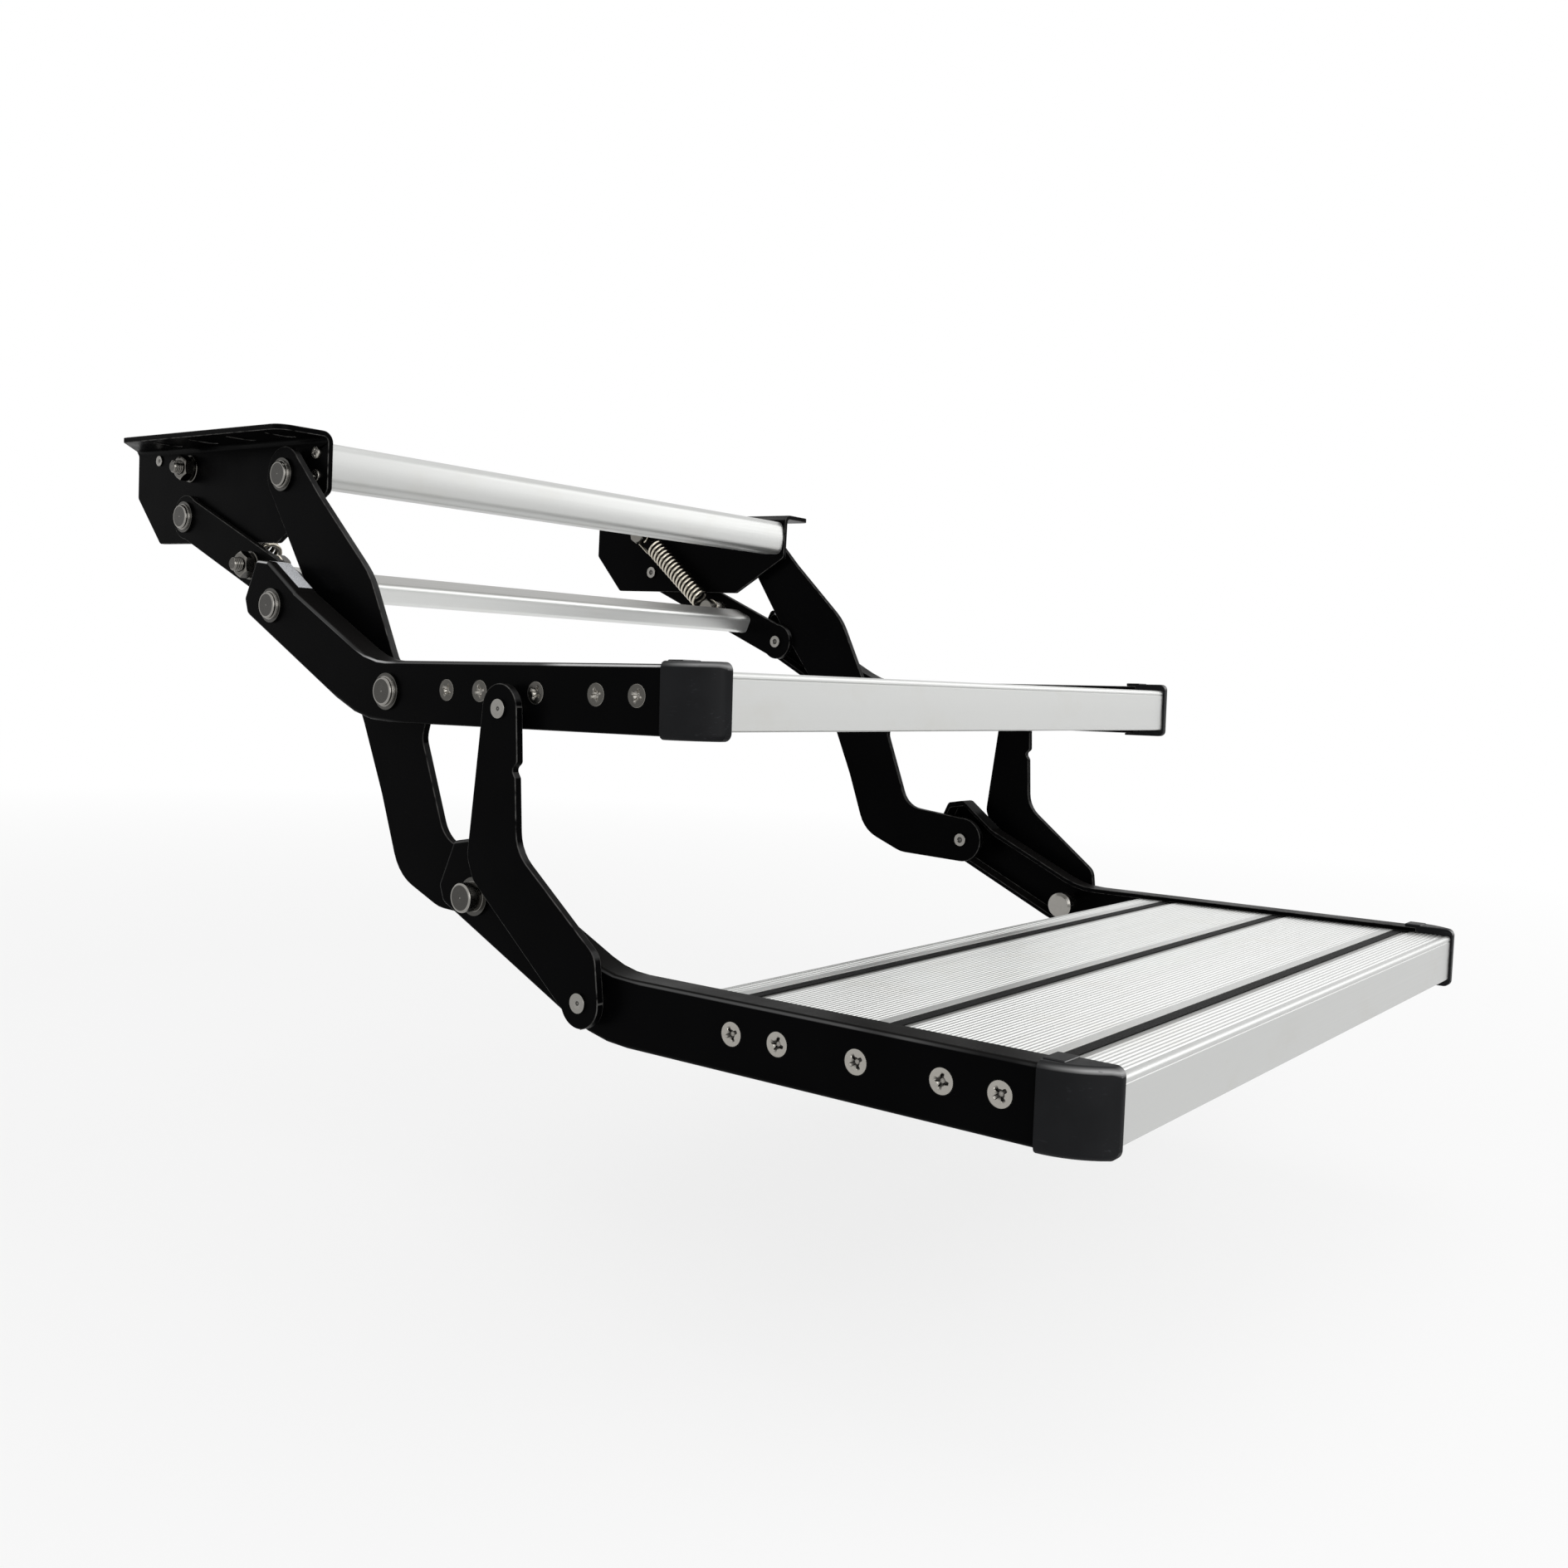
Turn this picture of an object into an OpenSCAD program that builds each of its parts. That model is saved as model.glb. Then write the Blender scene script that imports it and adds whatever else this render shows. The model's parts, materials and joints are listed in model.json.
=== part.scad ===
// Double pull-out entrance step for a caravan, shown pulled out.
// X runs across the step, -Y points away from the caravan, +Z is up.
// The origin lies midway between the two brackets, on the top face of their flanges.

/* [Step frames] */
// Width over the outer faces of the step frames
frame_width = 604; // [560:1:700]
// Height of the C-shaped step frames
frame_height = 40; // [38:0.5:44]
// Wall of the step frames
frame_wall = 3.5; // [3:0.1:3.8]
// How far the lips of the step frames reach inwards
lip_reach = 19; // [16:0.5:20]
// Upward slope of the upper step towards its front edge, in degrees
upper_slope = 2; // [1.5:0.1:2.5]
// Upward slope of the lower step towards its front edge, in degrees
lower_slope = 1.5; // [0.5:0.1:2]
// From the upper step's pivot to its front edge
upper_reach = 274; // [272:1:290]
// From the lower step's pivot to its front edge
lower_reach = 423; // [412:1:436]
// How far the lower step's frame dips below its pivot
lower_dip = 52; // [48:1:56]
// Radius of the bend between a frame's leg and its straight part
leg_bend = 90; // [70:5:100]

/* [Treads] */
// From the upper step's pivot to the rear of its tread
tread_rear = 24; // [22:1:34]
// Wall of the tread extrusion
tread_wall = 2.2; // [1.8:0.1:2.8]
// Radius of the tread's front edges
tread_nose = 2.5; // [1.5:0.5:3]
// Spacing of the fine ribs on a tread
rib_pitch = 3; // [2.5:0.1:4]
// Depth of the grooves between the fine ribs
rib_depth = 0.8; // [0.4:0.1:1]
// From the tread's front face to the middle of the first grip strip
strip_first = 38; // [30:0.5:42]
// From the middle of the last grip strip to the tread's rear
strip_last = 23; // [20:0.5:34]
// Width of a grip strip
strip_width = 7; // [5:0.5:8]
// Depth of the groove that holds a grip strip
strip_groove = 3.2; // [2.5:0.1:3.6]
// How far a grip strip stays below the tops of the ribs
strip_below = 0.3; // [0.2:0.1:1]
// Width of the smooth land in front of a grip strip
land_width = 5.5; // [4:0.5:7]
// Depth of the smooth land
land_depth = 1; // [0.5:0.1:1.2]
// Width of the smooth ridge behind a grip strip
ridge_width = 7; // [5:0.5:9]
// From the tread's top to the fine line across its front
front_line = 3.3; // [3.2:0.1:9]

/* [End caps] */
// Length of an end cap along the step frame
cap_length = 35; // [30:1:42]
// How far an end cap stands proud of the frame
cap_proud = 1.8; // [1.2:0.1:2.2]
// How far the cap's side has swept in by its front, seen from above
cap_sweep = 16; // [12:0.5:18]
// Height of the small lug on top of the cap's rear edge
cap_lug = 0.7; // [0.5:0.1:1.5]
// Width of the cap on the front of the tread
cap_face = 19; // [17:0.5:21]

/* [Arms and links] */
// Thickness of the main arms
arm_thick = 5; // [4:0.5:5]
// Radius of the main arm's ends
arm_end = 20; // [18:0.5:22]
// Radius of the main arm around the upper step's pivot
arm_lobe = 19.5; // [18:0.5:20]
// Thickness of the rear links
link_thick = 5; // [4:0.5:5]
// Width of the rear links
link_width = 32; // [28:1:34]
// Thickness of the braces between the two steps
brace_thick = 5; // [4:0.5:6]
// Gap between a step frame and its brace
brace_gap = 5.6; // [5.6:0.1:7]
// Radius of the brace's ends
brace_end = 15; // [13:0.5:16]

/* [Pivots] */
// Main arm's pivot on the bracket, towards the rear
arm_back = -67.5; // [-69:0.5:-66]
// Main arm's pivot, above the origin
arm_up = -30.5; // [-32:0.5:-29]
// Rear link's pivot on the bracket, towards the rear
link_back = 71.5; // [69:0.5:74]
// Rear link's pivot, above the origin
link_up = -58; // [-60:0.5:-56]
// Upper step's pivot on the main arm, towards the rear
upper_back = -230; // [-232:0.5:-228]
// Upper step's pivot, above the origin
upper_up = -178; // [-180:0.5:-176]
// Lower step's pivot on the main arm, towards the rear
lower_back = -323; // [-326:0.5:-320]
// Lower step's pivot, above the origin
lower_up = -299; // [-302:0.5:-296]
// Length of a rear link between its pivots
link_length = 182; // [178:0.5:186]
// From the upper step's pivot to the top of the brace
brace_ahead = 120; // [116:1:124]
// How far the top of the brace lies below the middle of the upper frame
brace_below = 8; // [6:0.5:10]
// From the lower step's pivot to the foot of the brace
brace_foot = 114; // [110:1:118]

/* [Brackets] */
// Thickness of the bracket's plate and flange
bracket_thick = 4; // [3:0.5:5]
// Outer radius of the bend between the bracket's plate and flange
bracket_bend = 8; // [6:0.5:9]
// Width of the flange
flange_width = 42.5; // [38:0.5:43]
// Height of the bracket's plate below the top of its flange
bracket_height = 78; // [76:1:84]
// Front edge of the bracket, ahead of the origin
bracket_front = 105; // [103:1:108]
// Rear edge of the bracket's plate, behind the origin
bracket_rear = 154; // [148:1:160]
// Rear end of the flange's outer edge, behind the origin
flange_rear = 106; // [102:1:120]
// Width of the slots in the flange
slot_width = 9; // [7:0.5:10]
// Length of the slots, which run across the flange
slot_length = 22; // [16:1:28]
// Spacing of the slots along the flange
slot_pitch = 50; // [44:1:56]

/* [Cross bars] */
// Height of the front cross bar
bar_height = 32; // [30:0.5:32]
// Depth of the front cross bar
bar_depth = 25; // [24:0.5:25]
// Wall of the cross bars
bar_wall = 2.2; // [1.8:0.1:2.6]
// Front face of the front cross bar, ahead of the origin
bar_front = 104; // [103:0.5:105]
// Top of the front cross bar, below the origin
bar_drop = 7; // [6:0.5:8]
// Width of the flat rear tie bar
tie_width = 25; // [23:0.5:26]
// Thickness of the rear tie bar
tie_thick = 18; // [15:0.5:18]
// Radius of the rear tie bar's corners
tie_corner = 4.5; // [3:0.5:6]
// From the rear link's pivot to the middle of the tie bar
tie_along = 130; // [128:0.5:132]

/* [Pins and fasteners] */
// Diameter of the pivot pins
pin_d = 10; // [8:0.5:11]
// Diameter of a pivot pin's head
pin_head_d = 18.3; // [16:0.1:20]
// Diameter of the washer under a pivot pin's head
pin_washer_d = 24; // [22:0.5:25]
// Thickness of the washer under a pivot pin's head
pin_washer = 2; // [1.5:0.1:2.2]
// Height of a pivot pin's head over its washer
pin_head = 3.3; // [2.5:0.1:3.4]
// Height of the long head on the lower step's pin
long_head = 10.2; // [8:0.1:12]
// Diameter of a pin's riveted inner end
pin_tail_d = 11.5; // [11.2:0.1:14]
// Height of a pin's riveted inner end
pin_tail = 2.5; // [2:0.5:4]
// Diameter of the brace's rivets
rivet_d = 8; // [6:0.5:9]
// Diameter of the brace rivet's head
rivet_head_d = 11.7; // [10:0.1:13]
// Height of the brace rivet's head
rivet_head = 1.6; // [1:0.1:2.5]
// Diameter of the guide bush at the foot of the brace
bush_d = 22; // [18:0.5:24]
// Diameter of the frame screws' heads
screw_head_d = 13.4; // [12:0.1:14]
// Diameter of the frame screws
screw_d = 5.5; // [5:0.1:6.5]
// Length of the frame screws
screw_length = 25; // [16:1:30]
// Diameter of the spring bolts
bolt_d = 10; // [8:0.1:10]
// Width across the flats of the spring bolts' heads and nuts
bolt_flats = 17; // [15:0.5:17]
// Height of a spring bolt's head
bolt_head = 6.4; // [5:0.1:7]
// Height of a spring bolt's nut
nut_height = 8.4; // [7:0.1:9]

/* [Springs] */
// Outer diameter of the springs
spring_d = 20; // [18:0.1:20.4]
// Diameter of the spring wire
spring_wire = 3; // [2.4:0.1:3.1]
// Number of curls on a spring
spring_curls = 17; // [12:1:20]
// From the middle of the bracket's bolt to the first curl
spring_lead = 20; // [17:1:26]
// From the last curl to the middle of the rear link's bolt
spring_tail = 15; // [14:1:20]
// From the inner face of the bracket's plate to the middle of a spring
spring_inset = 13.2; // [12.8:0.1:15]
// Spring's bolt on the bracket, towards the rear
spring_back = 74; // [71:0.5:78]
// Spring's bolt on the bracket, above the origin
spring_up = -20; // [-21:0.5:-19]
// From the rear link's pivot to the spring's bolt
spring_along = 100.5; // [98:0.5:101]

/* [Hidden] */
$fn = 48;

// Radial clearance of a pin in a plate that turns on it
running = 0.05;
// Side gap between parts that turn past each other
side_gap = 0.3;
// Thickness of the washer between the bracket and the rear link
link_washer = 0.8;

// Layers on one side, measured from the middle of the step
web_outer = frame_width / 2;
web_inner = web_outer - frame_wall;
lip_edge = web_outer - lip_reach;
arm_outer = lip_edge - 1.4 - pin_washer - pin_head;
arm_inner = arm_outer - arm_thick;
link_outer = arm_inner - side_gap;
link_inner = link_outer - link_thick;
plate_outer = link_inner - link_washer;
plate_inner = plate_outer - bracket_thick;
spring_x = plate_inner - spring_inset;
brace_inner = web_outer + brace_gap;
brace_outer = brace_inner + brace_thick;

// Pivots in the side view, as [towards the rear, up]
arm_pivot = [arm_back, arm_up];
link_pivot = [link_back, link_up];
upper_pivot = [upper_back, upper_up];
lower_pivot = [lower_back, lower_up];
link_dir = (upper_pivot - link_pivot) / norm(upper_pivot - link_pivot);
link_angle = atan2(link_dir[1], link_dir[0]);
toggle = link_pivot + link_length * link_dir;
spring_top = [spring_back, spring_up];
spring_foot = link_pivot + spring_along * link_dir;
tie_middle = link_pivot + tie_along * link_dir;
brace_top = from_step(upper_pivot, upper_slope, [brace_ahead, -brace_below]);

// Legs of the two step frames, in each step's own level frame
toggle_local = to_step(upper_pivot, upper_slope, toggle);
upper_leg_angle = 28.5;
lower_leg_angle = 25.2;
brace_foot_local = brace_foot * [cos(lower_leg_angle), -sin(lower_leg_angle)];
brace_bottom = from_step(lower_pivot, lower_slope, brace_foot_local);
leg_tail = 34;

tread_height = frame_height - 2 * frame_wall;
tread_depth = upper_reach - tread_rear;
strip_count = 3;
strip_pitch = (tread_depth - strip_first - strip_last) / (strip_count - 1);
brace_from_front = upper_reach - brace_ahead;
screw_places = [52, 84, brace_from_front - 20, brace_from_front + 30, tread_depth - 35];
screw_drop = 18;
screw_cone = 3;
port_wall = 2.5;

// A point of a step's own level frame, [ahead of its pivot, up], in the side view
function from_step(pivot, slope, p) =
    pivot + [-p[0] * cos(slope) + p[1] * sin(slope), p[0] * sin(slope) + p[1] * cos(slope)];

// A side-view point in a step's own level frame
function to_step(pivot, slope, q) =
    let (d = q - pivot)
    [-d[0] * cos(slope) + d[1] * sin(slope), d[0] * sin(slope) + d[1] * cos(slope)];

function unit(v) = v / norm(v);

// Points of one rounded corner, where corner is [y, z, radius]
function corner_arc(before, corner, after) =
    let (
        p = [corner[0], corner[1]],
        a = unit([before[0], before[1]] - p),
        b = unit([after[0], after[1]] - p),
        opening = acos(max(-1, min(1, a * b))),
        reach = corner[2] / tan(opening / 2),
        middle = p + unit(a + b) * corner[2] / sin(opening / 2),
        from = p + a * reach - middle,
        turn = 180 - opening,
        way = (a[0] * b[1] - a[1] * b[0]) > 0 ? -1 : 1,
        steps = max(2, ceil(turn / 10))
    )
    [for (i = [0:steps])
        let (t = way * turn * i / steps)
        middle + [from[0] * cos(t) - from[1] * sin(t), from[0] * sin(t) + from[1] * cos(t)]];

// An outline of [y, z, radius] corners, with radius 0 for a sharp one
function rounded(corners) =
    let (n = len(corners))
    [for (i = [0:n - 1])
        let (c = corners[i])
        each (c[2] > 0
            ? corner_arc(corners[(i + n - 1) % n], c, corners[(i + 1) % n])
            : [[c[0], c[1]]])];

function at(base, y, z, r) = [base[0] + y, base[1] + z, r];

// Side-view shape, extruded across the step from x
module slab(x, thick) {
    translate([x, 0, 0]) rotate([90, 0, 90]) linear_extrude(thick) children();
}

// Round bar across the step, from x0 to x1, at a side-view point
module rod(p, x0, x1, d) {
    translate([x0, p[0], p[1]]) rotate([0, 90, 0]) cylinder(h = x1 - x0, d = d);
}

module disc(p, d) {
    translate(p) circle(d = d);
}

module hex_rod(p, x0, x1, flats) {
    translate([x0, p[0], p[1]]) rotate([0, 90, 0])
        cylinder(h = x1 - x0, d = flats / cos(30), $fn = 6);
}

module ring(p, x0, x1, outer_d, inner_d) {
    difference() {
        rod(p, x0, x1, outer_d);
        rod(p, x0 - 1, x1 + 1, inner_d);
    }
}

// Children are drawn for the right side and mirrored to the left one
module left_side() {
    mirror([1, 0, 0]) children();
}

module both_sides() {
    children();
    left_side() children();
}

// Children drawn level, with X ahead of the pivot, are set on the step in the side view
module on_step(pivot, slope) {
    translate([0, pivot[0], pivot[1]]) rotate([-slope, 0, 0]) children();
}

// Bracket
plate_chamfer = 36;
plate_rear_chamfer = 37;

module flange_outline() {
    edge = plate_inner + flange_width;
    polygon(rounded([
        [plate_inner, -bracket_front, 0],
        [edge, -bracket_front + 2, 10],
        [edge, flange_rear, 3],
        [plate_outer + 1, bracket_rear, 0],
        [plate_inner, bracket_rear, 0]
    ]));
}

module flange_slots() {
    middle = plate_outer + (flange_width - bracket_thick) / 2;
    half = (slot_length - slot_width) / 2;
    for (i = [-1.5:1:1.5]) {
        translate([middle, i * slot_pitch]) {
            translate([-half, 0]) circle(d = slot_width);
            translate([half, 0]) circle(d = slot_width);
            translate([-half, -slot_width / 2]) square([2 * half, slot_width]);
        }
    }
}

// Angle section of the bracket, as [across, up]
module angle_section() {
    edge = plate_inner + flange_width;
    polygon(rounded([
        [plate_inner, -bracket_height, 0],
        [plate_inner, 0, bracket_bend],
        [edge, 0, 0],
        [edge, -bracket_thick, 0],
        [plate_outer, -bracket_thick, bracket_bend - bracket_thick],
        [plate_outer, -bracket_height, 0]
    ]));
}

module bracket() {
    low = -bracket_height;
    difference() {
        intersection() {
            translate([0, bracket_rear, 0]) rotate([90, 0, 0])
                linear_extrude(bracket_rear + bracket_front) angle_section();
            slab(plate_inner, flange_width)
                polygon(rounded([
                    [-bracket_front, 0, 0],
                    [-bracket_front, low + plate_chamfer, 6],
                    [-bracket_front + 60, low, 6],
                    [bracket_rear - 35, low, 4],
                    [bracket_rear, low + plate_rear_chamfer, 4],
                    [bracket_rear, 0, 0]
                ]));
            translate([0, 0, low]) linear_extrude(bracket_height) flange_outline();
        }
        translate([0, 0, -bracket_thick - 1]) linear_extrude(bracket_thick + 2) flange_slots();
        for (p = [arm_pivot, link_pivot])
            rod(p, plate_inner - 1, plate_outer + 1, pin_d);
        rod(spring_top, plate_inner - 1, plate_outer + 1, bolt_d);
        for (p = bar_screw_places)
            rod(p, plate_inner - 1, plate_outer + 1, bar_screw_d);
        rod(rivet_place, plate_inner - 1, plate_outer + 1, small_rivet_d);
    }
}

module bracket_left() {
    color("#1c1c1e") left_side() bracket();
}

module bracket_right() {
    color("#1c1c1e") bracket();
}

// Front cross bar
bar_screw_d = 5;
bar_screw_head_d = 9;
bar_screw_head = 2;
bar_screw_length = 20;
bar_screw_inset = 8.5;
bar_middle_y = -bar_front + bar_depth / 2;
bar_screw_places = [
    [bar_middle_y, -bar_drop - bar_screw_inset + 1],
    [bar_middle_y, -bar_drop - bar_height + bar_screw_inset]
];
small_rivet_d = 5;
rivet_place = [121, -12];

module bar_outline(inset) {
    y0 = -bar_front + inset;
    y1 = -bar_front + bar_depth - inset;
    z1 = -bar_drop - inset;
    z0 = -bar_drop - bar_height + inset;
    polygon(rounded([
        [y0 + 2, z1, 8 - inset],
        [y0, (z0 + z1) / 2, 40],
        [y0 + 2, z0, 8 - inset],
        [y1, z0, 4 - inset],
        [y1, z1, 4 - inset]
    ]));
}

module cross_bar() {
    color("#c9cccd") slab(-plate_inner, 2 * plate_inner) {
        difference() {
            bar_outline(0);
            difference() {
                bar_outline(bar_wall);
                for (p = bar_screw_places) {
                    disc(p, bar_screw_d + 2 * port_wall);
                    translate([p[0] - 1, p[1] - 1]) square([bar_depth / 2, 2]);
                }
            }
            for (p = bar_screw_places)
                disc(p, bar_screw_d);
        }
    }
}

// Cross cut in a screw's head, at the side-view point p
module cross_recess(p, x, size, deep) {
    for (turn = [20, 110])
        translate([x, p[0], p[1]]) rotate([turn, 0, 0])
            translate([-deep, -size / 2, -size / 9]) cube([deep + 1, size, size / 4.5]);
}

module cross_bar_screws() {
    color("#b9babc") both_sides() for (p = bar_screw_places) difference() {
        union() {
            rod(p, plate_outer - bar_screw_length, plate_outer, bar_screw_d);
            rod(p, plate_outer, plate_outer + bar_screw_head, bar_screw_head_d);
        }
        cross_recess(p, plate_outer + bar_screw_head, bar_screw_head_d * 0.55, 1.2);
    }
}

module bracket_rivets() {
    color("#b9babc") both_sides() {
        rod(rivet_place, plate_inner - 1, plate_outer, small_rivet_d);
        rod(rivet_place, plate_outer, plate_outer + 1.2, small_rivet_d * 1.7);
        rod(rivet_place, plate_inner - 1.5, plate_inner, small_rivet_d * 1.5);
    }
}

// Stepped head of a pivot pin, standing outwards from x
module pin_head_shape(p, x, head) {
    rod(p, x, x + pin_washer, pin_washer_d);
    rod(p, x + pin_washer, x + pin_washer + 1, pin_head_d + 1.6);
    rod(p, x + pin_washer + 1, x + pin_washer + head - 0.8, pin_head_d);
    translate([x + pin_washer + head - 0.8, p[0], p[1]]) rotate([0, 90, 0])
        cylinder(h = 0.8, d1 = pin_head_d, d2 = pin_head_d - 1.6);
}

// Riveted inner end of a pin, standing inwards from x
module pin_tail_shape(p, x) {
    difference() {
        rod(p, x - pin_tail, x, pin_tail_d);
        rod(p, x - pin_tail - 1, x - pin_tail + 1, pin_d / 2);
    }
}

module pivot_pin(p, head_x, tail_x, head) {
    pin_head_shape(p, head_x, head);
    rod(p, tail_x, head_x, pin_d);
    pin_tail_shape(p, tail_x);
}

module arm_pivot_pins() {
    color("#a9aaac") both_sides() {
        pivot_pin(arm_pivot, arm_outer + 0.1, plate_inner, pin_head);
        ring(arm_pivot, plate_outer, arm_inner - 0.1, pin_head_d, pin_d);
    }
}

module link_pivot_pins() {
    color("#a9aaac") both_sides() {
        pivot_pin(link_pivot, link_outer + 0.1, plate_inner, pin_head);
        ring(link_pivot, plate_outer, link_inner - 0.1, pin_head_d, pin_d);
    }
}

// Spring bolts
hook_bend = 3;
top_eye_x = spring_x - hook_bend;
foot_eye_x = spring_x + hook_bend;
eye_play = 0.3;
bolt_washer = 2;
bolt_end = 6;

// Bolt whose head lies inside the spring's eye, from the eye at eye_x outwards to x1
module spring_bolt(p, eye_x, x1) {
    head_x = eye_x - spring_wire / 2 - eye_play;
    hex_rod(p, head_x - bolt_head, head_x, bolt_flats);
    rod(p, head_x, x1 + bolt_washer + nut_height + bolt_end, bolt_d);
}

module spring_nut(p, x) {
    difference() {
        union() {
            rod(p, x, x + bolt_washer, bolt_flats + 4);
            hex_rod(p, x + bolt_washer, x + bolt_washer + nut_height, bolt_flats);
        }
        rod(p, x - 1, x + bolt_washer + nut_height + 1, bolt_d);
    }
}

module bracket_spring_bolts() {
    color("#b9babc") both_sides() {
        spring_bolt(spring_top, top_eye_x, plate_outer);
        ring(spring_top, top_eye_x + spring_wire / 2 + eye_play, plate_inner,
             bolt_flats, bolt_d);
    }
}

module bracket_spring_nuts() {
    color("#b9babc") both_sides() spring_nut(spring_top, plate_outer);
}

// Main arm, from the bracket past the upper step to the lower step
module arm_shape() {
    difference() {
        union() {
            disc(arm_pivot, 2 * arm_end);
            disc(upper_pivot, 2 * arm_lobe);
            disc(lower_pivot, 2 * arm_end);
            polygon(rounded([
                at(arm_pivot, -13, 15, 0),
                at(arm_pivot, -46, -18, 30),
                at(upper_pivot, 58, 77, 60),
                at(upper_pivot, 29, 22, 6),
                at(upper_pivot, 15, 7, 0),
                at(upper_pivot, -8, -16, 0),
                at(upper_pivot, -4, -30, 12),
                at(lower_pivot, 62, 25, 22),
                at(lower_pivot, 2, 20, 0),
                at(lower_pivot, 0, -20, 0),
                at(lower_pivot, 66, -19, 30),
                at(lower_pivot, 109, -3, 34),
                at(upper_pivot, 37, -71, 120),
                at(upper_pivot, 62, -18, 60),
                at(toggle, -2.9, 13.8, 90),
                at(arm_pivot, 17, -10, 0)
            ]));
        }
        for (p = [arm_pivot, upper_pivot, lower_pivot])
            disc(p, pin_d + 2 * running);
    }
}

module arm() {
    slab(arm_inner, arm_thick) arm_shape();
}

module arm_left() {
    color("#1c1c1e") left_side() arm();
}

module arm_right() {
    color("#1c1c1e") arm();
}

// Rear link, tie bar and spring foot, drawn along the link's own axis
module rear_link() {
    slab(link_inner, link_thick) difference() {
        union() {
            disc(link_pivot, link_width + 2);
            disc(toggle, link_width + 2);
            translate(link_pivot) rotate(link_angle)
                translate([0, -link_width / 2]) square([link_length, link_width]);
        }
        disc(link_pivot, pin_d + 2 * running);
        disc(toggle, pin_d);
        disc(spring_foot, bolt_d);
    }
}

module rear_link_left() {
    color("#1c1c1e") left_side() rear_link();
}

module rear_link_right() {
    color("#1c1c1e") rear_link();
}

module round_box(width, thick, corner) {
    for (y = [-1, 1], z = [-1, 1])
        translate([y * (width / 2 - corner), z * (thick / 2 - corner)]) circle(r = corner);
    square([width - 2 * corner, thick], center = true);
    square([width, thick - 2 * corner], center = true);
}

module tie_bar() {
    color("#c9cccd") slab(-link_inner, 2 * link_inner)
        translate(tie_middle) rotate(link_angle) difference() {
            round_box(tie_width, tie_thick, tie_corner);
            round_box(tie_width - 2 * bar_wall, tie_thick - 2 * bar_wall,
                      max(tie_corner - bar_wall, 0.5));
        }
}

module link_spring_bolts() {
    color("#b9babc") both_sides() spring_bolt(spring_foot, foot_eye_x, link_outer);
}

module link_spring_nuts() {
    color("#b9babc") both_sides() spring_nut(spring_foot, link_outer);
}

module link_spring_bushes() {
    color("#b9babc") both_sides()
        ring(spring_foot, foot_eye_x + spring_wire / 2 + eye_play, link_inner,
             bolt_flats, bolt_d);
}

// The rear link's half of the pivot between link and upper step
module toggle_rivets() {
    color("#a9aaac") both_sides() {
        rod(toggle, link_inner, link_outer, pin_d);
        pin_tail_shape(toggle, link_inner);
    }
}

// Step frame: a level straight part ahead of the pivot and a leg behind it.
// Outlines are in the step's own frame, [ahead of the pivot, up].
cap_wall = 1;
// Radius of the cap's swept side, which leaves the frame's line at the cap's rear edge
cap_radius = (pow(cap_length, 2) + pow(cap_sweep, 2)) / (2 * cap_sweep);
cap_edge = 2 * cap_proud;

// From the cap's rear edge to where its inner side meets a line beside the frame
function swept(inside) = sqrt(pow(cap_radius - cap_wall, 2) - pow(cap_radius - cap_proud - inside, 2));

// Far enough back for the swept side to keep its wall around the frame's end
frame_under_cap = cap_length - cap_proud - swept(0);

function leg_point(middle, angle, along, across) =
    middle + [-along * cos(angle) + across * sin(angle), along * sin(angle) + across * cos(angle)];

// Corners of the frame's outline, inset all round by inset
function frame_corners(bend, leg_end, angle, reach, ear, inset) =
    let (
        half = frame_height / 2 - inset,
        tail = leg_tail - inset,
        shift = half * tan(angle / 2)
    )
    [
        [reach, bend[1] - half, 0],
        [reach, bend[1] + half, 0],
        [bend[0] + shift, bend[1] + half, leg_bend - half],
        [each leg_point(leg_end, angle, tail - 52, half), 20],
        [each leg_point(leg_end, angle, tail - 13, half + ear), 5],
        [each leg_point(leg_end, angle, tail, half + ear * 0.2 - 2), 4],
        [each leg_point(leg_end, angle, tail, -half + 8), 4],
        [each leg_point(leg_end, angle, tail - 8, -half), 4],
        [bend[0] - shift, bend[1] - half, leg_bend + half]
    ];

module frame_outline(bend, leg_end, angle, reach, ear, inset) {
    polygon(rounded(frame_corners(bend, leg_end, angle, reach, ear, inset)));
}

// C-shaped frame of one side, with holes for its pins and countersunk screws
module step_frame(bend, leg_end, angle, reach, ear, holes, front) {
    difference() {
        rotate([90, 0, -90]) {
            translate([0, 0, -web_outer]) linear_extrude(lip_reach) difference() {
                frame_outline(bend, leg_end, angle, reach, ear, 0);
                frame_outline(bend, leg_end, angle, reach + 5, ear, frame_wall);
            }
            translate([0, 0, -web_outer]) linear_extrude(frame_wall)
                frame_outline(bend, leg_end, angle, reach, ear, 0);
        }
        for (h = holes)
            rod([-h[0], h[1]], web_inner - 1, web_outer + 1, h[2]);
        for (s = screw_places) {
            p = [-front + s, bend[1] + frame_height / 2 - screw_drop];
            rod(p, web_inner - 1, web_outer + 1, screw_d);
            translate([web_outer - screw_cone, p[0], p[1]]) rotate([0, 90, 0])
                cylinder(h = screw_cone, d1 = screw_d, d2 = screw_head_d);
            rod(p, web_outer - 0.01, web_outer + 1, screw_head_d);
        }
    }
}

upper_bend = [toggle_local[0] + toggle_local[1] / tan(upper_leg_angle), 0];
lower_bend = [lower_dip / tan(lower_leg_angle), -lower_dip];

module upper_frame() {
    on_step(upper_pivot, upper_slope)
        step_frame(upper_bend, toggle_local, upper_leg_angle, upper_reach - frame_under_cap, 4,
                   [[0, 0, pin_d],
                    [toggle_local[0], toggle_local[1], pin_d],
                    [brace_ahead, -brace_below, rivet_d + 2 * running]],
                   upper_reach);
}

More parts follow.
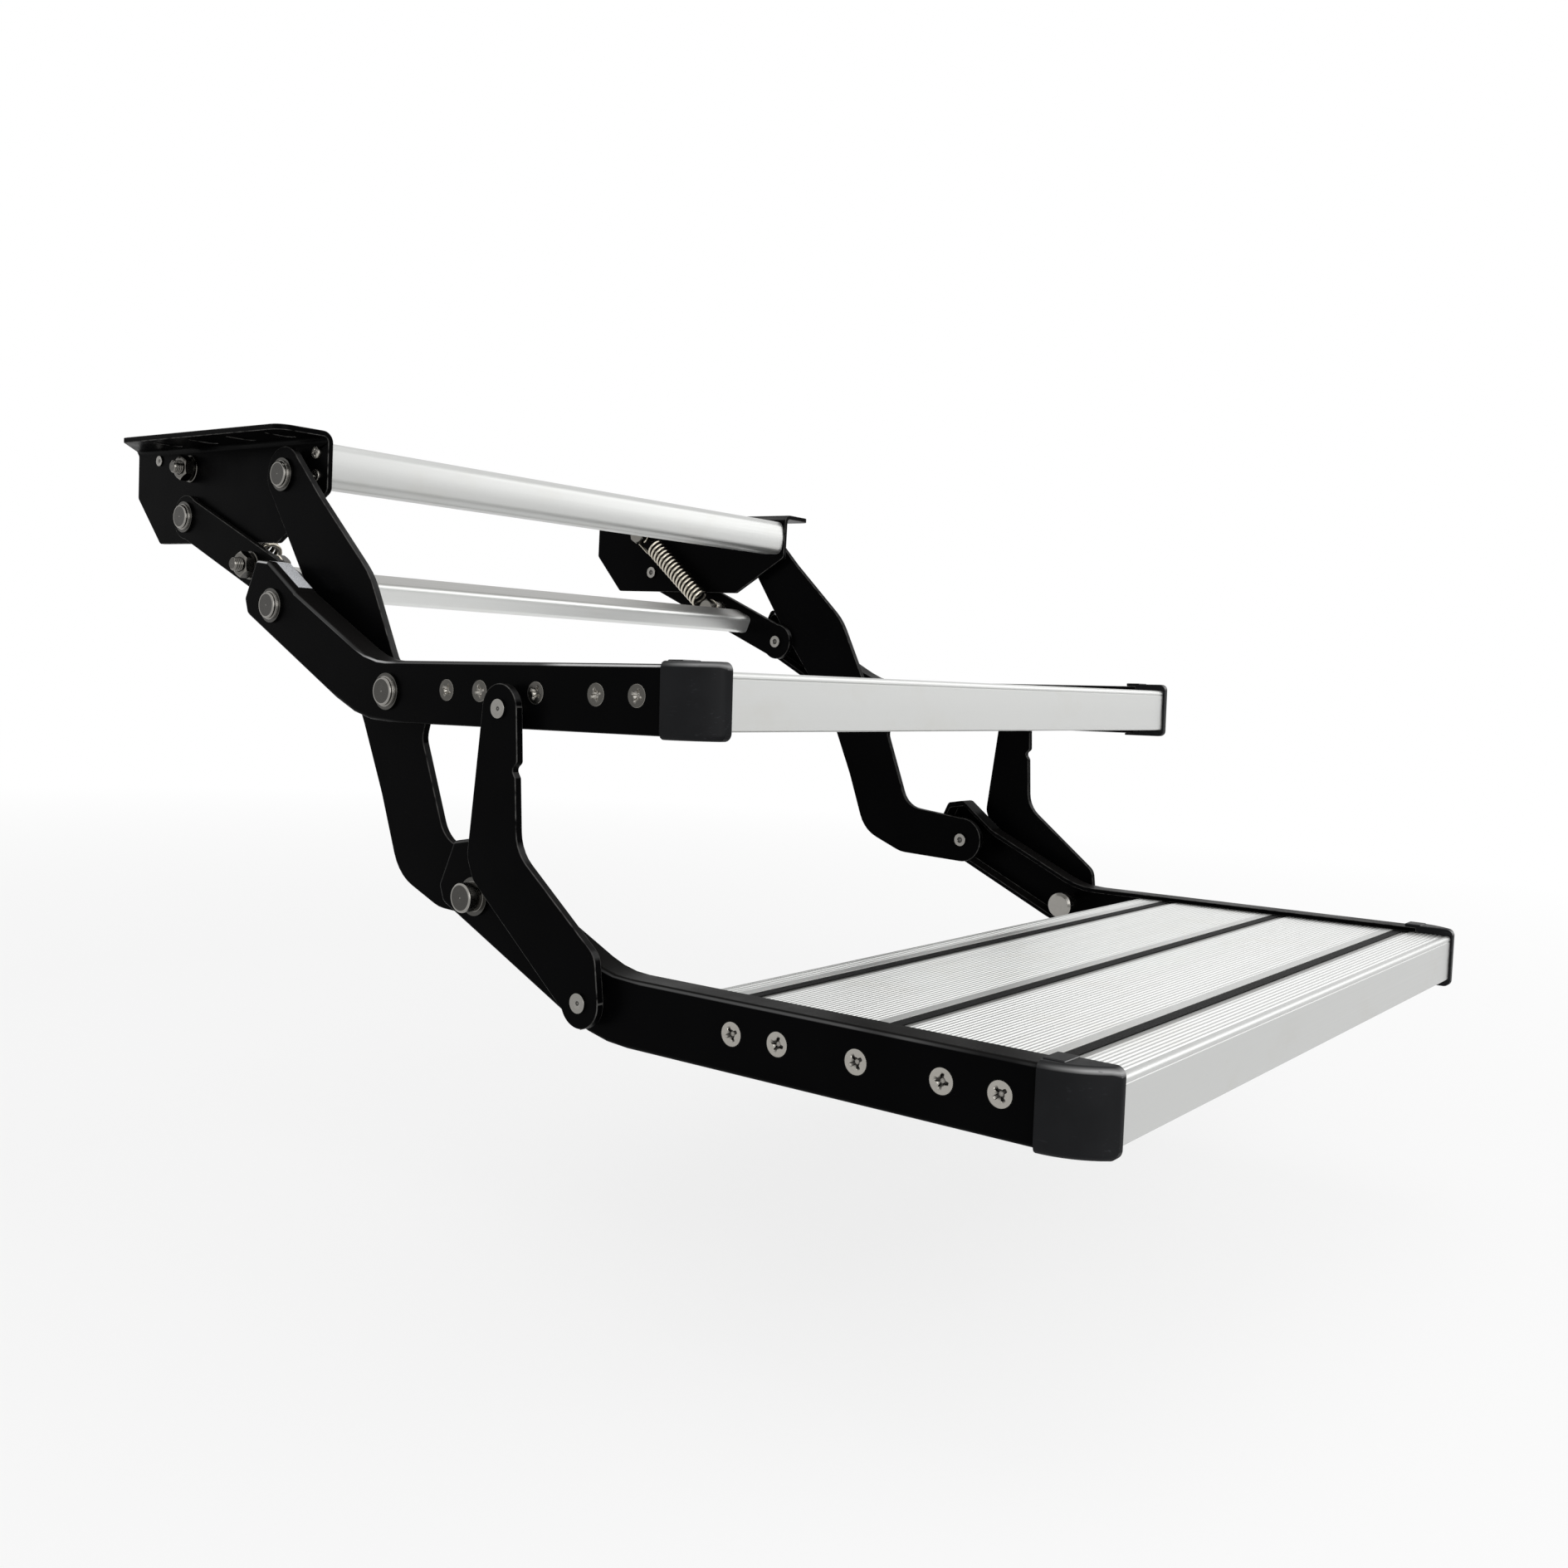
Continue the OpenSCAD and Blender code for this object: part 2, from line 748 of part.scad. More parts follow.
module lower_frame() {
    on_step(lower_pivot, lower_slope)
        step_frame(lower_bend, [0, 0], lower_leg_angle, lower_reach - frame_under_cap, 9,
                   [[0, 0, pin_d], [brace_foot_local[0], brace_foot_local[1], rivet_d]],
                   lower_reach);
}

module upper_frame_left() {
    color("#1c1c1e") left_side() upper_frame();
}

module upper_frame_right() {
    color("#1c1c1e") upper_frame();
}

module lower_frame_left() {
    color("#1c1c1e") left_side() lower_frame();
}

module lower_frame_right() {
    color("#1c1c1e") lower_frame();
}

// Tread extrusion, drawn with its front face at 0 and its top at 0
function rib_band(from, to) =
    let (n = floor((to - from) / rib_pitch), step = (to - from) / n)
    [for (i = [0:n - 1])
        each [
            [from + (i + 0.15) * step, -rib_depth],
            [from + (i + 0.35) * step, 0],
            [from + (i + 0.8) * step, 0],
            [from + (i + 0.98) * step, -rib_depth]
        ]];

function strip_middle(i) = strip_first + i * strip_pitch;

// Land, strip groove and ridge around one grip strip
function strip_band(i) =
    let (m = strip_middle(i), half = strip_width / 2)
    [
        [m - half - land_width, 0],
        [m - half - land_width, -land_depth],
        [m - half, -land_depth],
        [m - half, -strip_groove],
        [m + half, -strip_groove],
        [m + half, 0],
        [m + half + ridge_width, 0]
    ];

function band_start(i) = i < 0
    ? tread_nose + 3
    : strip_middle(i) + strip_width / 2 + ridge_width;

function band_end(i) = i < strip_count
    ? strip_middle(i) - strip_width / 2 - land_width - 1
    : tread_depth - 2;

function nose_arc() = [for (t = [180:-15:90]) tread_nose * [1 + cos(t), sin(t) - 1]];

module tread_outline() {
    polygon([
        [tread_nose * 0.3, -tread_height],
        [0, -tread_height + tread_nose * 0.3],
        [0, -front_line - 0.8],
        [0.5, -front_line - 0.4],
        [0, -front_line],
        each nose_arc(),
        each [for (i = [0:strip_count - 1])
            each [each rib_band(band_start(i - 1), band_end(i)), each strip_band(i)]],
        each rib_band(band_start(strip_count - 1), band_end(strip_count)),
        [tread_depth - 2, 0],
        [tread_depth, 0],
        [tread_depth, -tread_height]
    ]);
}

module tread_section() {
    low = -tread_height + tread_wall;
    high = -strip_groove - tread_wall;
    screw_z = frame_wall - screw_drop;
    difference() {
        tread_outline();
        difference() {
            translate([tread_wall, low]) square([tread_depth - 2 * tread_wall, high - low]);
            for (s = screw_places) {
                disc([s, screw_z], screw_d + 2 * port_wall);
                translate([s - tread_wall / 2, low - 1])
                    square([tread_wall, high - low + 2]);
            }
        }
        for (s = screw_places)
            disc([s, screw_z], screw_d);
    }
}

// Corner that is sawn off a tread's front, under the end cap, less by ease
corner_cut_along = cap_length - cap_proud - swept(web_outer - web_inner);
corner_cut_across = web_inner - web_outer - cap_proud + cap_radius
    - sqrt(pow(cap_radius - cap_wall, 2) - pow(cap_length - cap_proud, 2));

module sawn_corner(ease) {
    slant = corner_cut_across / corner_cut_along;
    translate([0, 0, -frame_height]) linear_extrude(2 * frame_height)
        polygon([
            [web_inner - corner_cut_across - slant + ease, -1],
            [web_inner + 1, -1],
            [web_inner + 1, corner_cut_along + (1 - ease) / slant]
        ]);
}

module tread(pivot, slope, reach, middle_z) {
    on_step(pivot, slope)
        translate([0, -reach, middle_z + tread_height / 2]) difference() {
            slab(-web_inner, 2 * web_inner) tread_section();
            both_sides() sawn_corner(0);
        }
}

module grip_strips(pivot, slope, reach, middle_z) {
    fit = 0.05;
    on_step(pivot, slope)
        translate([0, -reach, middle_z + tread_height / 2])
            for (i = [0:strip_count - 1])
                slab(-web_inner, 2 * web_inner)
                    translate([strip_middle(i) - strip_width / 2 + fit, -strip_groove])
                        square([strip_width - 2 * fit, strip_groove - strip_below]);
}

module end_caps(pivot, slope, reach, middle_z) {
    back = -reach - cap_proud + cap_length;
    front = -reach - cap_proud;
    outer = web_outer + cap_proud;
    half = frame_height / 2 + cap_proud;
    fit = 0.05;
    on_step(pivot, slope) both_sides() difference() {
        union() {
            translate([web_outer - cap_face, back - cap_length / 3, middle_z + half - 1])
                cube([cap_face - 4, cap_length / 3, 1 + cap_lug]);
            intersection() {
                slab(web_outer - cap_face, cap_face + cap_proud)
                    polygon(rounded([
                        [back, middle_z - half, 0],
                        [front, middle_z - half, 5],
                        [front, middle_z + half, 5],
                        [back, middle_z + half, 0]
                    ]));
                translate([outer - cap_radius, back, middle_z]) rotate_extrude()
                    polygon(rounded([
                        [0, -half, 0],
                        [cap_radius, -half, cap_edge],
                        [cap_radius, half, cap_edge],
                        [0, half, 0]
                    ]));
            }
        }
        translate([0, -reach + frame_under_cap - fit, middle_z - frame_height / 2 - fit])
            cube([web_outer + fit, cap_length, frame_height + 2 * fit]);
        difference() {
            translate([0, -reach - fit, middle_z - tread_height / 2 - fit])
                cube([web_inner + fit, cap_length, tread_height + 2 * fit]);
            translate([0, -reach, middle_z]) sawn_corner(2 * fit);
        }
    }
}

module frame_screws(pivot, slope, reach, middle_z) {
    z = middle_z + frame_height / 2 - screw_drop;
    on_step(pivot, slope) both_sides() for (s = screw_places) {
        p = [-reach + s, z];
        difference() {
            union() {
                rod(p, web_outer - screw_length, web_outer - screw_cone, screw_d);
                translate([web_outer - screw_cone, p[0], p[1]]) rotate([0, 90, 0])
                    cylinder(h = screw_cone, d1 = screw_d, d2 = screw_head_d);
                rod(p, web_outer, web_outer + 0.4, screw_head_d);
            }
            cross_recess(p, web_outer + 0.4, screw_head_d * 0.55, 1.6);
        }
    }
}

module upper_tread() {
    color("#c9cccd") tread(upper_pivot, upper_slope, upper_reach, upper_bend[1]);
}

module lower_tread() {
    color("#c9cccd") tread(lower_pivot, lower_slope, lower_reach, lower_bend[1]);
}

module upper_grip_strips() {
    color("#161616") grip_strips(upper_pivot, upper_slope, upper_reach, upper_bend[1]);
}

module lower_grip_strips() {
    color("#161616") grip_strips(lower_pivot, lower_slope, lower_reach, lower_bend[1]);
}

module upper_end_caps() {
    color("#26272a") end_caps(upper_pivot, upper_slope, upper_reach, upper_bend[1]);
}

module lower_end_caps() {
    color("#26272a") end_caps(lower_pivot, lower_slope, lower_reach, lower_bend[1]);
}

module upper_frame_screws() {
    color("#b9babc") frame_screws(upper_pivot, upper_slope, upper_reach, upper_bend[1]);
}

module lower_frame_screws() {
    color("#b9babc") frame_screws(lower_pivot, lower_slope, lower_reach, lower_bend[1]);
}

// Pins of the two steps, and the tubes that keep arm and frame apart
module step_spacers(p) {
    both_sides() ring(p, arm_outer + 0.1, web_inner, pin_head_d, pin_d);
}

module step_pins(p, head) {
    both_sides() pivot_pin(p, web_outer, arm_inner - 0.1, head);
}

module upper_step_pins() {
    color("#a9aaac") step_pins(upper_pivot, pin_head);
}

module lower_step_pins() {
    color("#a9aaac") step_pins(lower_pivot, long_head);
}

module upper_step_spacers() {
    color("#a9aaac") step_spacers(upper_pivot);
}

module lower_step_spacers() {
    color("#a9aaac") step_spacers(lower_pivot);
}

// The upper step's half of the pivot between link and upper step
module toggle_pins() {
    color("#a9aaac") both_sides() {
        pin_head_shape(toggle, web_outer, pin_head);
        rod(toggle, link_outer + side_gap, web_outer, pin_d);
    }
}

module toggle_spacers() {
    color("#a9aaac") both_sides()
        ring(toggle, arm_outer + side_gap, web_inner, pin_head_d - 3, pin_d);
}

// Guide bush on the lower frame, under the foot of the brace
bush_dome = 6;

module brace_foot_bushes() {
    color("#a9aaac") both_sides() {
        rod(brace_bottom, arm_inner - 2, arm_inner + bush_dome, bush_d);
        rod(brace_bottom, arm_inner + bush_dome, web_inner, pin_head_d);
        rod(brace_bottom, web_inner, web_outer, rivet_d);
        rod(brace_bottom, web_outer, brace_inner - side_gap, pin_head_d);
    }
}

// Brace between the two steps
module brace_shape() {
    difference() {
        union() {
            disc(brace_top, 2 * brace_end);
            disc(brace_bottom, 2 * brace_end);
            polygon(rounded([
                at(brace_top, -15, 2, 0),
                at(brace_top, -17.5, -31, 3),
                at(brace_top, -13, -35, 3),
                at(brace_top, -16.5, -40, 3),
                at(brace_top, -20, -83, 25),
                at(brace_bottom, -11, 29, 12),
                at(brace_bottom, -15, 2, 0),
                at(brace_bottom, -2, -15, 0),
                at(brace_bottom, 14, -6, 0),
                at(brace_top, 18, -105, 14),
                at(brace_top, 24, -91, 14),
                at(brace_top, 15, 0, 0)
            ]));
        }
        disc(brace_top, rivet_d);
        disc(brace_bottom, rivet_d);
    }
}

module brace() {
    slab(brace_inner, brace_thick) brace_shape();
}

module brace_left() {
    color("#1c1c1e") left_side() brace();
}

module brace_right() {
    color("#1c1c1e") brace();
}

module rivet_head_shape(p, x) {
    difference() {
        rod(p, x, x + rivet_head, rivet_head_d);
        translate([x + rivet_head - 0.7, p[0], p[1]]) rotate([0, 90, 0])
            cylinder(h = 1, d1 = 2, d2 = 6);
    }
}

module brace_top_rivets() {
    color("#a9aaac") both_sides() {
        rivet_head_shape(brace_top, brace_outer);
        rod(brace_top, web_inner, brace_outer, rivet_d);
    }
}

module brace_top_spacers() {
    color("#a9aaac") both_sides()
        ring(brace_top, web_outer + 0.1, brace_inner, pin_head_d, rivet_d);
}

module brace_foot_rivets() {
    color("#a9aaac") both_sides() {
        rivet_head_shape(brace_bottom, brace_outer);
        rod(brace_bottom, brace_inner, brace_outer, rivet_d);
    }
}

// Springs: one unbroken wire each, with an eye round the bolt at either end
coil_r = (spring_d - spring_wire) / 2;
spring_way = spring_foot - spring_top;
spring_length = norm(spring_way);
axis_v = [0, spring_way[0], spring_way[1]] / spring_length;
side_v = [0, -axis_v[2], axis_v[1]];
across_v = [1, 0, 0];
coil_length = spring_length - spring_lead - spring_tail;
rings_per_curl = 8;
wire_sides = 6;
eye_sweep = 300;

// A point of the spring: along the axis, to the side and across, with its normal
function wire_point(s, a, c, normal) =
    [[spring_x, spring_top[0], spring_top[1]] + s * axis_v + a * side_v + c * across_v, normal];

// Eye at one end, and the bend that leads into the curls
function eye_points(middle, way) =
    [for (t = [eye_sweep:-30:0])
        wire_point(middle - way * coil_r * sin(t), coil_r * cos(t), -way * hook_bend,
                   cos(t) * side_v - way * sin(t) * axis_v)];

function bend_points(start, way) =
    [for (t = [0:30:60])
        wire_point(start - way * hook_bend * (1 - sin(t)), coil_r,
                   -way * hook_bend * cos(t), side_v)];

function curl_points() =
    let (n = spring_curls * rings_per_curl)
    [for (i = [0:n])
        let (t = 360 * i / rings_per_curl)
        wire_point(spring_lead + coil_length * i / n, coil_r * cos(t), coil_r * sin(t),
                   cos(t) * side_v + sin(t) * across_v)];

function reversed(list) = [for (i = [len(list) - 1:-1:0]) list[i]];

spring_path = concat(
    eye_points(0, 1),
    bend_points(spring_lead, 1),
    curl_points(),
    reversed(bend_points(spring_lead + coil_length, -1)),
    reversed(eye_points(spring_length, -1))
);

// Tube along a path of [point, normal] pairs
module wire(path, d) {
    n = len(path);
    points = [for (i = [0:n - 1])
        let (
            t = unit(path[min(i + 1, n - 1)][0] - path[max(i - 1, 0)][0]),
            raw = path[i][1],
            a = unit(raw - (raw * t) * t),
            b = cross(t, a)
        )
        each [for (k = [0:wire_sides - 1])
            path[i][0] + d / 2 * (cos(k * 360 / wire_sides) * a + sin(k * 360 / wire_sides) * b)]];
    sides = [for (i = [0:n - 2], k = [0:wire_sides - 1])
        let (
            q = i * wire_sides,
            j = (k + 1) % wire_sides
        )
        each [[q + k, q + wire_sides + k, q + j], [q + j, q + wire_sides + k, q + wire_sides + j]]];
    ends = [for (k = [1:wire_sides - 2])
        each [[0, k, k + 1],
              [(n - 1) * wire_sides, (n - 1) * wire_sides + k + 1, (n - 1) * wire_sides + k]]];
    polyhedron(points, concat(sides, ends), convexity = 10);
}

// Least gap between stretches of the wire that are half a curl or more apart
spring_gap = min([for (i = [0:len(spring_path) - 1], j = [i + 5:1:len(spring_path) - 1])
    norm(spring_path[i][0] - spring_path[j][0])]) - spring_wire;
echo(spring_gap = spring_gap);

module spring_left() {
    color("#b4b5b5") left_side() wire(spring_path, spring_wire);
}

module spring_right() {
    color("#b4b5b5") wire(spring_path, spring_wire);
}

bracket_left();
bracket_right();
cross_bar();
cross_bar_screws();
bracket_rivets();
arm_pivot_pins();
link_pivot_pins();
bracket_spring_bolts();
bracket_spring_nuts();
arm_left();
arm_right();
rear_link_left();
rear_link_right();
tie_bar();
link_spring_bolts();
link_spring_nuts();
link_spring_bushes();
toggle_rivets();
upper_frame_left();
upper_frame_right();
upper_tread();
upper_grip_strips();
upper_end_caps();
upper_frame_screws();
upper_step_pins();
upper_step_spacers();
toggle_pins();
toggle_spacers();
lower_frame_left();
lower_frame_right();
lower_tread();
lower_grip_strips();
lower_end_caps();
lower_frame_screws();
lower_step_pins();
lower_step_spacers();
brace_foot_bushes();
brace_left();
brace_right();
brace_top_rivets();
brace_top_spacers();
brace_foot_rivets();
spring_left();
spring_right();
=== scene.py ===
"""Double pull-out caravan step: the dressed pieces, their finishes and a plain studio.

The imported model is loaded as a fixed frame. Every piece made here sits on that frame and
rides on one of its bodies. Lengths are in metres, +X across the step, -Y away from the
caravan, +Z up.
"""

import json
from collections import namedtuple
from math import cos, pi, radians, sin, tan

import bmesh
import bpy
from bpy.props import FloatProperty, FloatVectorProperty, IntProperty, PointerProperty
from bpy.types import Operator, Panel, PropertyGroup
from mathutils import Matrix, Vector

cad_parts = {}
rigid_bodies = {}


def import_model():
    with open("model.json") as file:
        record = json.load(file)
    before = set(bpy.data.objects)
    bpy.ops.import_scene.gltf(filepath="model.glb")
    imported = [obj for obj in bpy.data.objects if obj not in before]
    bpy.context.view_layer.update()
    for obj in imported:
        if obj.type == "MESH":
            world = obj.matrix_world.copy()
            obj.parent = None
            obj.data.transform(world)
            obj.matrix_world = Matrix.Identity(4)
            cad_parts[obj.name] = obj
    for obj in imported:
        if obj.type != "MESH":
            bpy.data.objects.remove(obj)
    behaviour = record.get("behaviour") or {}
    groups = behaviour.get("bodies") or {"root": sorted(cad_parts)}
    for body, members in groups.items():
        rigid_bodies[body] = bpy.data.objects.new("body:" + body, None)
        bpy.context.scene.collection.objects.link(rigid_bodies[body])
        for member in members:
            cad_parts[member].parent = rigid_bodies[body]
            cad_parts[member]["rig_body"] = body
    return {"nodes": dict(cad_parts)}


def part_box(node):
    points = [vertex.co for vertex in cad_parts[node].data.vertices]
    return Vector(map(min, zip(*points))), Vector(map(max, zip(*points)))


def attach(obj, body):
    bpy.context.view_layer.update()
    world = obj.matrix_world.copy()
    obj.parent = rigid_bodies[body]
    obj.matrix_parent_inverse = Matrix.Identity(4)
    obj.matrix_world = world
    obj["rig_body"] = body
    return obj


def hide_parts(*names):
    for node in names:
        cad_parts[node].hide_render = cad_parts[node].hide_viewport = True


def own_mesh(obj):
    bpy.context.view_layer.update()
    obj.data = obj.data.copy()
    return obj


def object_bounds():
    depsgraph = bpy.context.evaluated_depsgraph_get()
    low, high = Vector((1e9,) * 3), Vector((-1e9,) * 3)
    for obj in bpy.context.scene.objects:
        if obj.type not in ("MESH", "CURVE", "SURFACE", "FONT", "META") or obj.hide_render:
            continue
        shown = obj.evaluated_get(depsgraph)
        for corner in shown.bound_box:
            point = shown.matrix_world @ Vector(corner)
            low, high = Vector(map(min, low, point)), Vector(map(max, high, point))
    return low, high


bl_info = {
    "name": "Caravan Step",
    "version": (1, 0, 0),
    "blender": (4, 5, 0),
    "location": "3D View > Sidebar > Caravan Step",
    "description": "Builds the visible pieces of a double pull-out caravan step",
    "category": "Add Mesh",
}

MM = 0.001
MIDDLE = 0.4 * MM  # radius of the small face that closes a turned profile at its axis
SIDES = ("left", "right")
STEPS = ("upper", "lower")
Solid = namedtuple("Solid", "side y z inner outer radius index")

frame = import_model()
cad_box = [list(corner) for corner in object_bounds()]


# Sizes and colours


def length(name, description, millimetres):
    """A size for a PropertyGroup, which keeps it in metres."""
    return FloatProperty(
        name=name, description=description, default=millimetres * MM,
        min=0.0, max=1.0, unit="LENGTH", subtype="DISTANCE", precision=5,
    )


def colour(name, description, default):
    """A linear colour, for a PropertyGroup."""
    return FloatVectorProperty(
        name=name, description=description, default=default,
        size=3, min=0.0, max=1.0, subtype="COLOR",
    )


class StepSizes(PropertyGroup):
    """Sizes of the dressed pieces."""

    plate_edge: length("Plate Edge", "Rounding on the edges of the flat steel plates", 0.5)
    frame_bend: length("Frame Bend", "Outer bend between a step frame's web and lips", 3.0)
    tread_edge: length("Tread Edge", "Rounding on the ribs of a tread", 0.12)
    bar_edge: length("Bar Edge", "Rounding on the ends of the two cross bars", 0.4)
    cap_edge: length("Cap Edge", "Rounding on the moulded end caps", 0.6)
    strip_edge: length("Strip Edge", "Rounding on the grip strips", 0.35)
    pin_radius: length("Pin Radius", "Radius of the pivot pins", 5.0)
    head_radius: length("Head Radius", "Radius of a pivot pin's head", 9.15)
    head_height: length("Head Height", "How far a pin's head and washer stand out", 5.3)
    long_head_height: length("Long Head", "The same for the lower step's pins", 12.2)
    head_cut: length("Head Cut", "Chamfer on the edge of a pin's head", 0.7)
    flange_step: length("Flange Step", "How far a head's flange stands out from it", 0.8)
    washer_radius: length("Washer Radius", "Radius of the washer under a pin's head", 12.0)
    washer_thick: length("Washer", "Thickness of the washer under a pin's head", 2.0)
    tail_radius: length("Tail Radius", "Radius of a pin's riveted inner end", 5.75)
    tail_height: length("Tail Height", "How far a pin's riveted inner end stands out", 2.5)
    dimple_radius: length("Dimple Radius", "Radius of the dimple in a riveted end", 2.3)
    dimple_depth: length("Dimple Depth", "Depth of the dimple in a riveted end", 1.0)
    rivet_radius: length("Rivet Radius", "Radius of the brace rivets", 4.0)
    screw_radius: length("Screw Radius", "Radius of the frame screws' shanks", 2.75)
    screw_cone: length("Screw Cone", "Depth of a frame screw's countersunk cone", 3.0)
    bolt_radius: length("Bolt Radius", "Radius of the spring bolts", 5.0)
    bolt_flats: length("Bolt Flats", "Width across flats of bolt heads and nuts", 17.0)
    bolt_head: length("Bolt Head", "Height of the spring bolts' heads", 6.4)
    bolt_washer: length("Bolt Washer", "Thickness of the washer under a nut", 2.0)
    thread_pitch: length("Thread Pitch", "Pitch of the spring bolts' thread", 1.5)
    spring_diameter: length("Spring Diameter", "Outer diameter of the springs", 20.0)
    spring_wire: length("Spring Wire", "Diameter of the spring wire", 3.0)
    spring_lead: length("Spring Lead", "From the upper bolt to the first curl", 20.0)
    spring_tail: length("Spring Tail", "From the last curl to the lower bolt", 15.0)
    spring_curls: IntProperty(
        name="Spring Curls", description="Number of curls on a spring",
        default=17, min=4, max=30,
    )


class StepColours(PropertyGroup):
    """Base colours of the finishes."""

    black_coat: colour("Black Coat", "Coated steel of plates and frames", (0.0008, 0.0008, 0.0009))
    aluminium: colour("Aluminium", "Anodised treads and bars", (0.56, 0.565, 0.555))
    pin_steel: colour("Pin Steel", "Turned steel of pins and rivets", (0.30, 0.29, 0.27))
    zinc_steel: colour("Zinc Steel", "Plated screws, bolts and nuts", (0.36, 0.345, 0.315))
    spring_steel: colour("Spring Steel", "Plated spring wire", (0.62, 0.575, 0.485))
    grip_rubber: colour("Grip Rubber", "Grip strips in the treads", (0.0025, 0.0025, 0.0025))
    cap_plastic: colour("Cap Plastic", "Moulded end caps", (0.0052, 0.0054, 0.0060))
    label_film: colour("Label Film", "Blank labels on the upper frames", (0.60, 0.615, 0.64))
    floor: colour("Floor", "Studio floor", (0.86, 0.86, 0.86))


# Finishes


def add_node(tree, kind, inputs=None, **settings):
    """A shader node; an input is either a value or the socket that feeds it."""
    made = tree.nodes.new(kind)
    for key, value in settings.items():
        setattr(made, key, value)
    for key, value in (inputs or {}).items():
        socket = made.inputs[key]
        if isinstance(value, bpy.types.NodeSocket):
            tree.links.new(value, socket)
        else:
            socket.default_value = value
    return made


def stretched(tree, scale=(1, 1, 1)):
    """Object coordinates, stretched by scale per metre."""
    place = add_node(tree, "ShaderNodeTexCoord").outputs["Object"]
    mapped = add_node(tree, "ShaderNodeMapping", {"Vector": place, "Scale": scale})
    return mapped.outputs["Vector"]


def noise(tree, vector, scale, detail=3.0, roughness=0.5):
    made = add_node(
        tree, "ShaderNodeTexNoise",
        {"Vector": vector, "Scale": scale, "Detail": detail, "Roughness": roughness},
    )
    return made.outputs["Fac"]


def span(tree, value, from_low, from_high, to_low, to_high):
    """value moved from one range to another, and kept inside it."""
    limits = {"From Min": from_low, "From Max": from_high, "To Min": to_low, "To Max": to_high}
    return add_node(tree, "ShaderNodeMapRange", {"Value": value, **limits}).outputs["Result"]


def ramp(tree, value, low, high):
    """From 0 where value is low to 1 where it is high."""
    return span(tree, value, low, high, 0.0, 1.0)


def inverse(tree, value):
    return span(tree, value, 0.0, 1.0, 1.0, 0.0)


def calculated(tree, operation, *values):
    """The result of one operation on values or sockets."""
    made = add_node(tree, "ShaderNodeMath", dict(enumerate(values)), operation=operation)
    return made.outputs[0]


def times(tree, a, b):
    return calculated(tree, "MULTIPLY", a, b)


def mixed(tree, share, a, b):
    """Colour between a and b, as a socket."""
    made = add_node(
        tree, "ShaderNodeMix", {"Factor": share}, data_type="RGBA", clamp_factor=True
    )
    for socket, value in ((made.inputs[6], a), (made.inputs[7], b)):
        if isinstance(value, bpy.types.NodeSocket):
            tree.links.new(value, socket)
        else:
            socket.default_value = (*value, 1.0)
    return made.outputs[2]


def bump(tree, height, strength, distance, normal=None):
    inputs = {"Height": height, "Strength": strength, "Distance": distance}
    if normal is not None:
        inputs["Normal"] = normal
    return add_node(tree, "ShaderNodeBump", inputs).outputs["Normal"]


def shade(base, factor):
    """A colour made lighter or darker."""
    return tuple(min(1.0, c * factor) for c in base)


def tinted(base, factors):
    """A colour with each of its channels scaled on its own."""
    return tuple(c * f for c, f in zip(base, factors))


def grey(value):
    return (value, value, value)


def new_finish(name, **constants):
    """A material with one Principled shader, whose constants are set on its own sockets."""
    finish = bpy.data.materials.new(name)
    finish.use_nodes = True
    tree = finish.node_tree
    shader = tree.nodes["Principled BSDF"]
    for key, value in constants.items():
        shader.inputs[key.replace("_", " ")].default_value = value
    return finish, tree, shader


def feed(tree, shader, colour_socket, roughness, normal):
    """Links what a finish has worked out to its shader."""
    tree.links.new(colour_socket, shader.inputs["Base Color"])
    tree.links.new(roughness, shader.inputs["Roughness"])
    tree.links.new(normal, shader.inputs["Normal"])


def face_value(tree, name):
    """A value that the mesh carries on its faces."""
    return add_node(tree, "ShaderNodeAttribute", attribute_name=name).outputs["Fac"]


def rim_share(tree, low, high):
    """Patches along rounded edges that are made lighter: worn finish, and in the black coat a
    painted highlight as well.
    """
    patches = ramp(tree, noise(tree, stretched(tree), 180.0, 4.0), low, high)
    return times(tree, face_value(tree, "rim"), patches)


def specks(tree, scale, size, part):
    """Sparse dots: one where a cell is under size, in the given part of the cells."""
    cells = add_node(tree, "ShaderNodeTexVoronoi", {"Vector": stretched(tree), "Scale": scale})
    dot = span(tree, cells.outputs["Distance"], size * 0.5, size, 1.0, 0.0)
    split = add_node(tree, "ShaderNodeSeparateColor", {"Color": cells.outputs["Color"]})
    chosen = ramp(tree, split.outputs["Red"], 1.0 - part, 1.0 - part + 0.01)
    return times(tree, dot, chosen)


def looking(tree, axis, low, high):
    """How far a face looks along an axis of its own piece, from 0 at low to 1 at high."""
    normal = add_node(tree, "ShaderNodeTexCoord").outputs["Normal"]
    parts = add_node(tree, "ShaderNodeSeparateXYZ", {"Vector": normal})
    return ramp(tree, parts.outputs[axis], low, high)


def bend_light(tree, low, high, soft=0.17):
    """Where a rounded edge lies between its side and its top, from 0 to 1: the band that carries a
    painted highlight.
    """
    rising = looking(tree, "Z", low, low + soft)
    return times(tree, rising, inverse(tree, looking(tree, "Z", high - soft, high)))


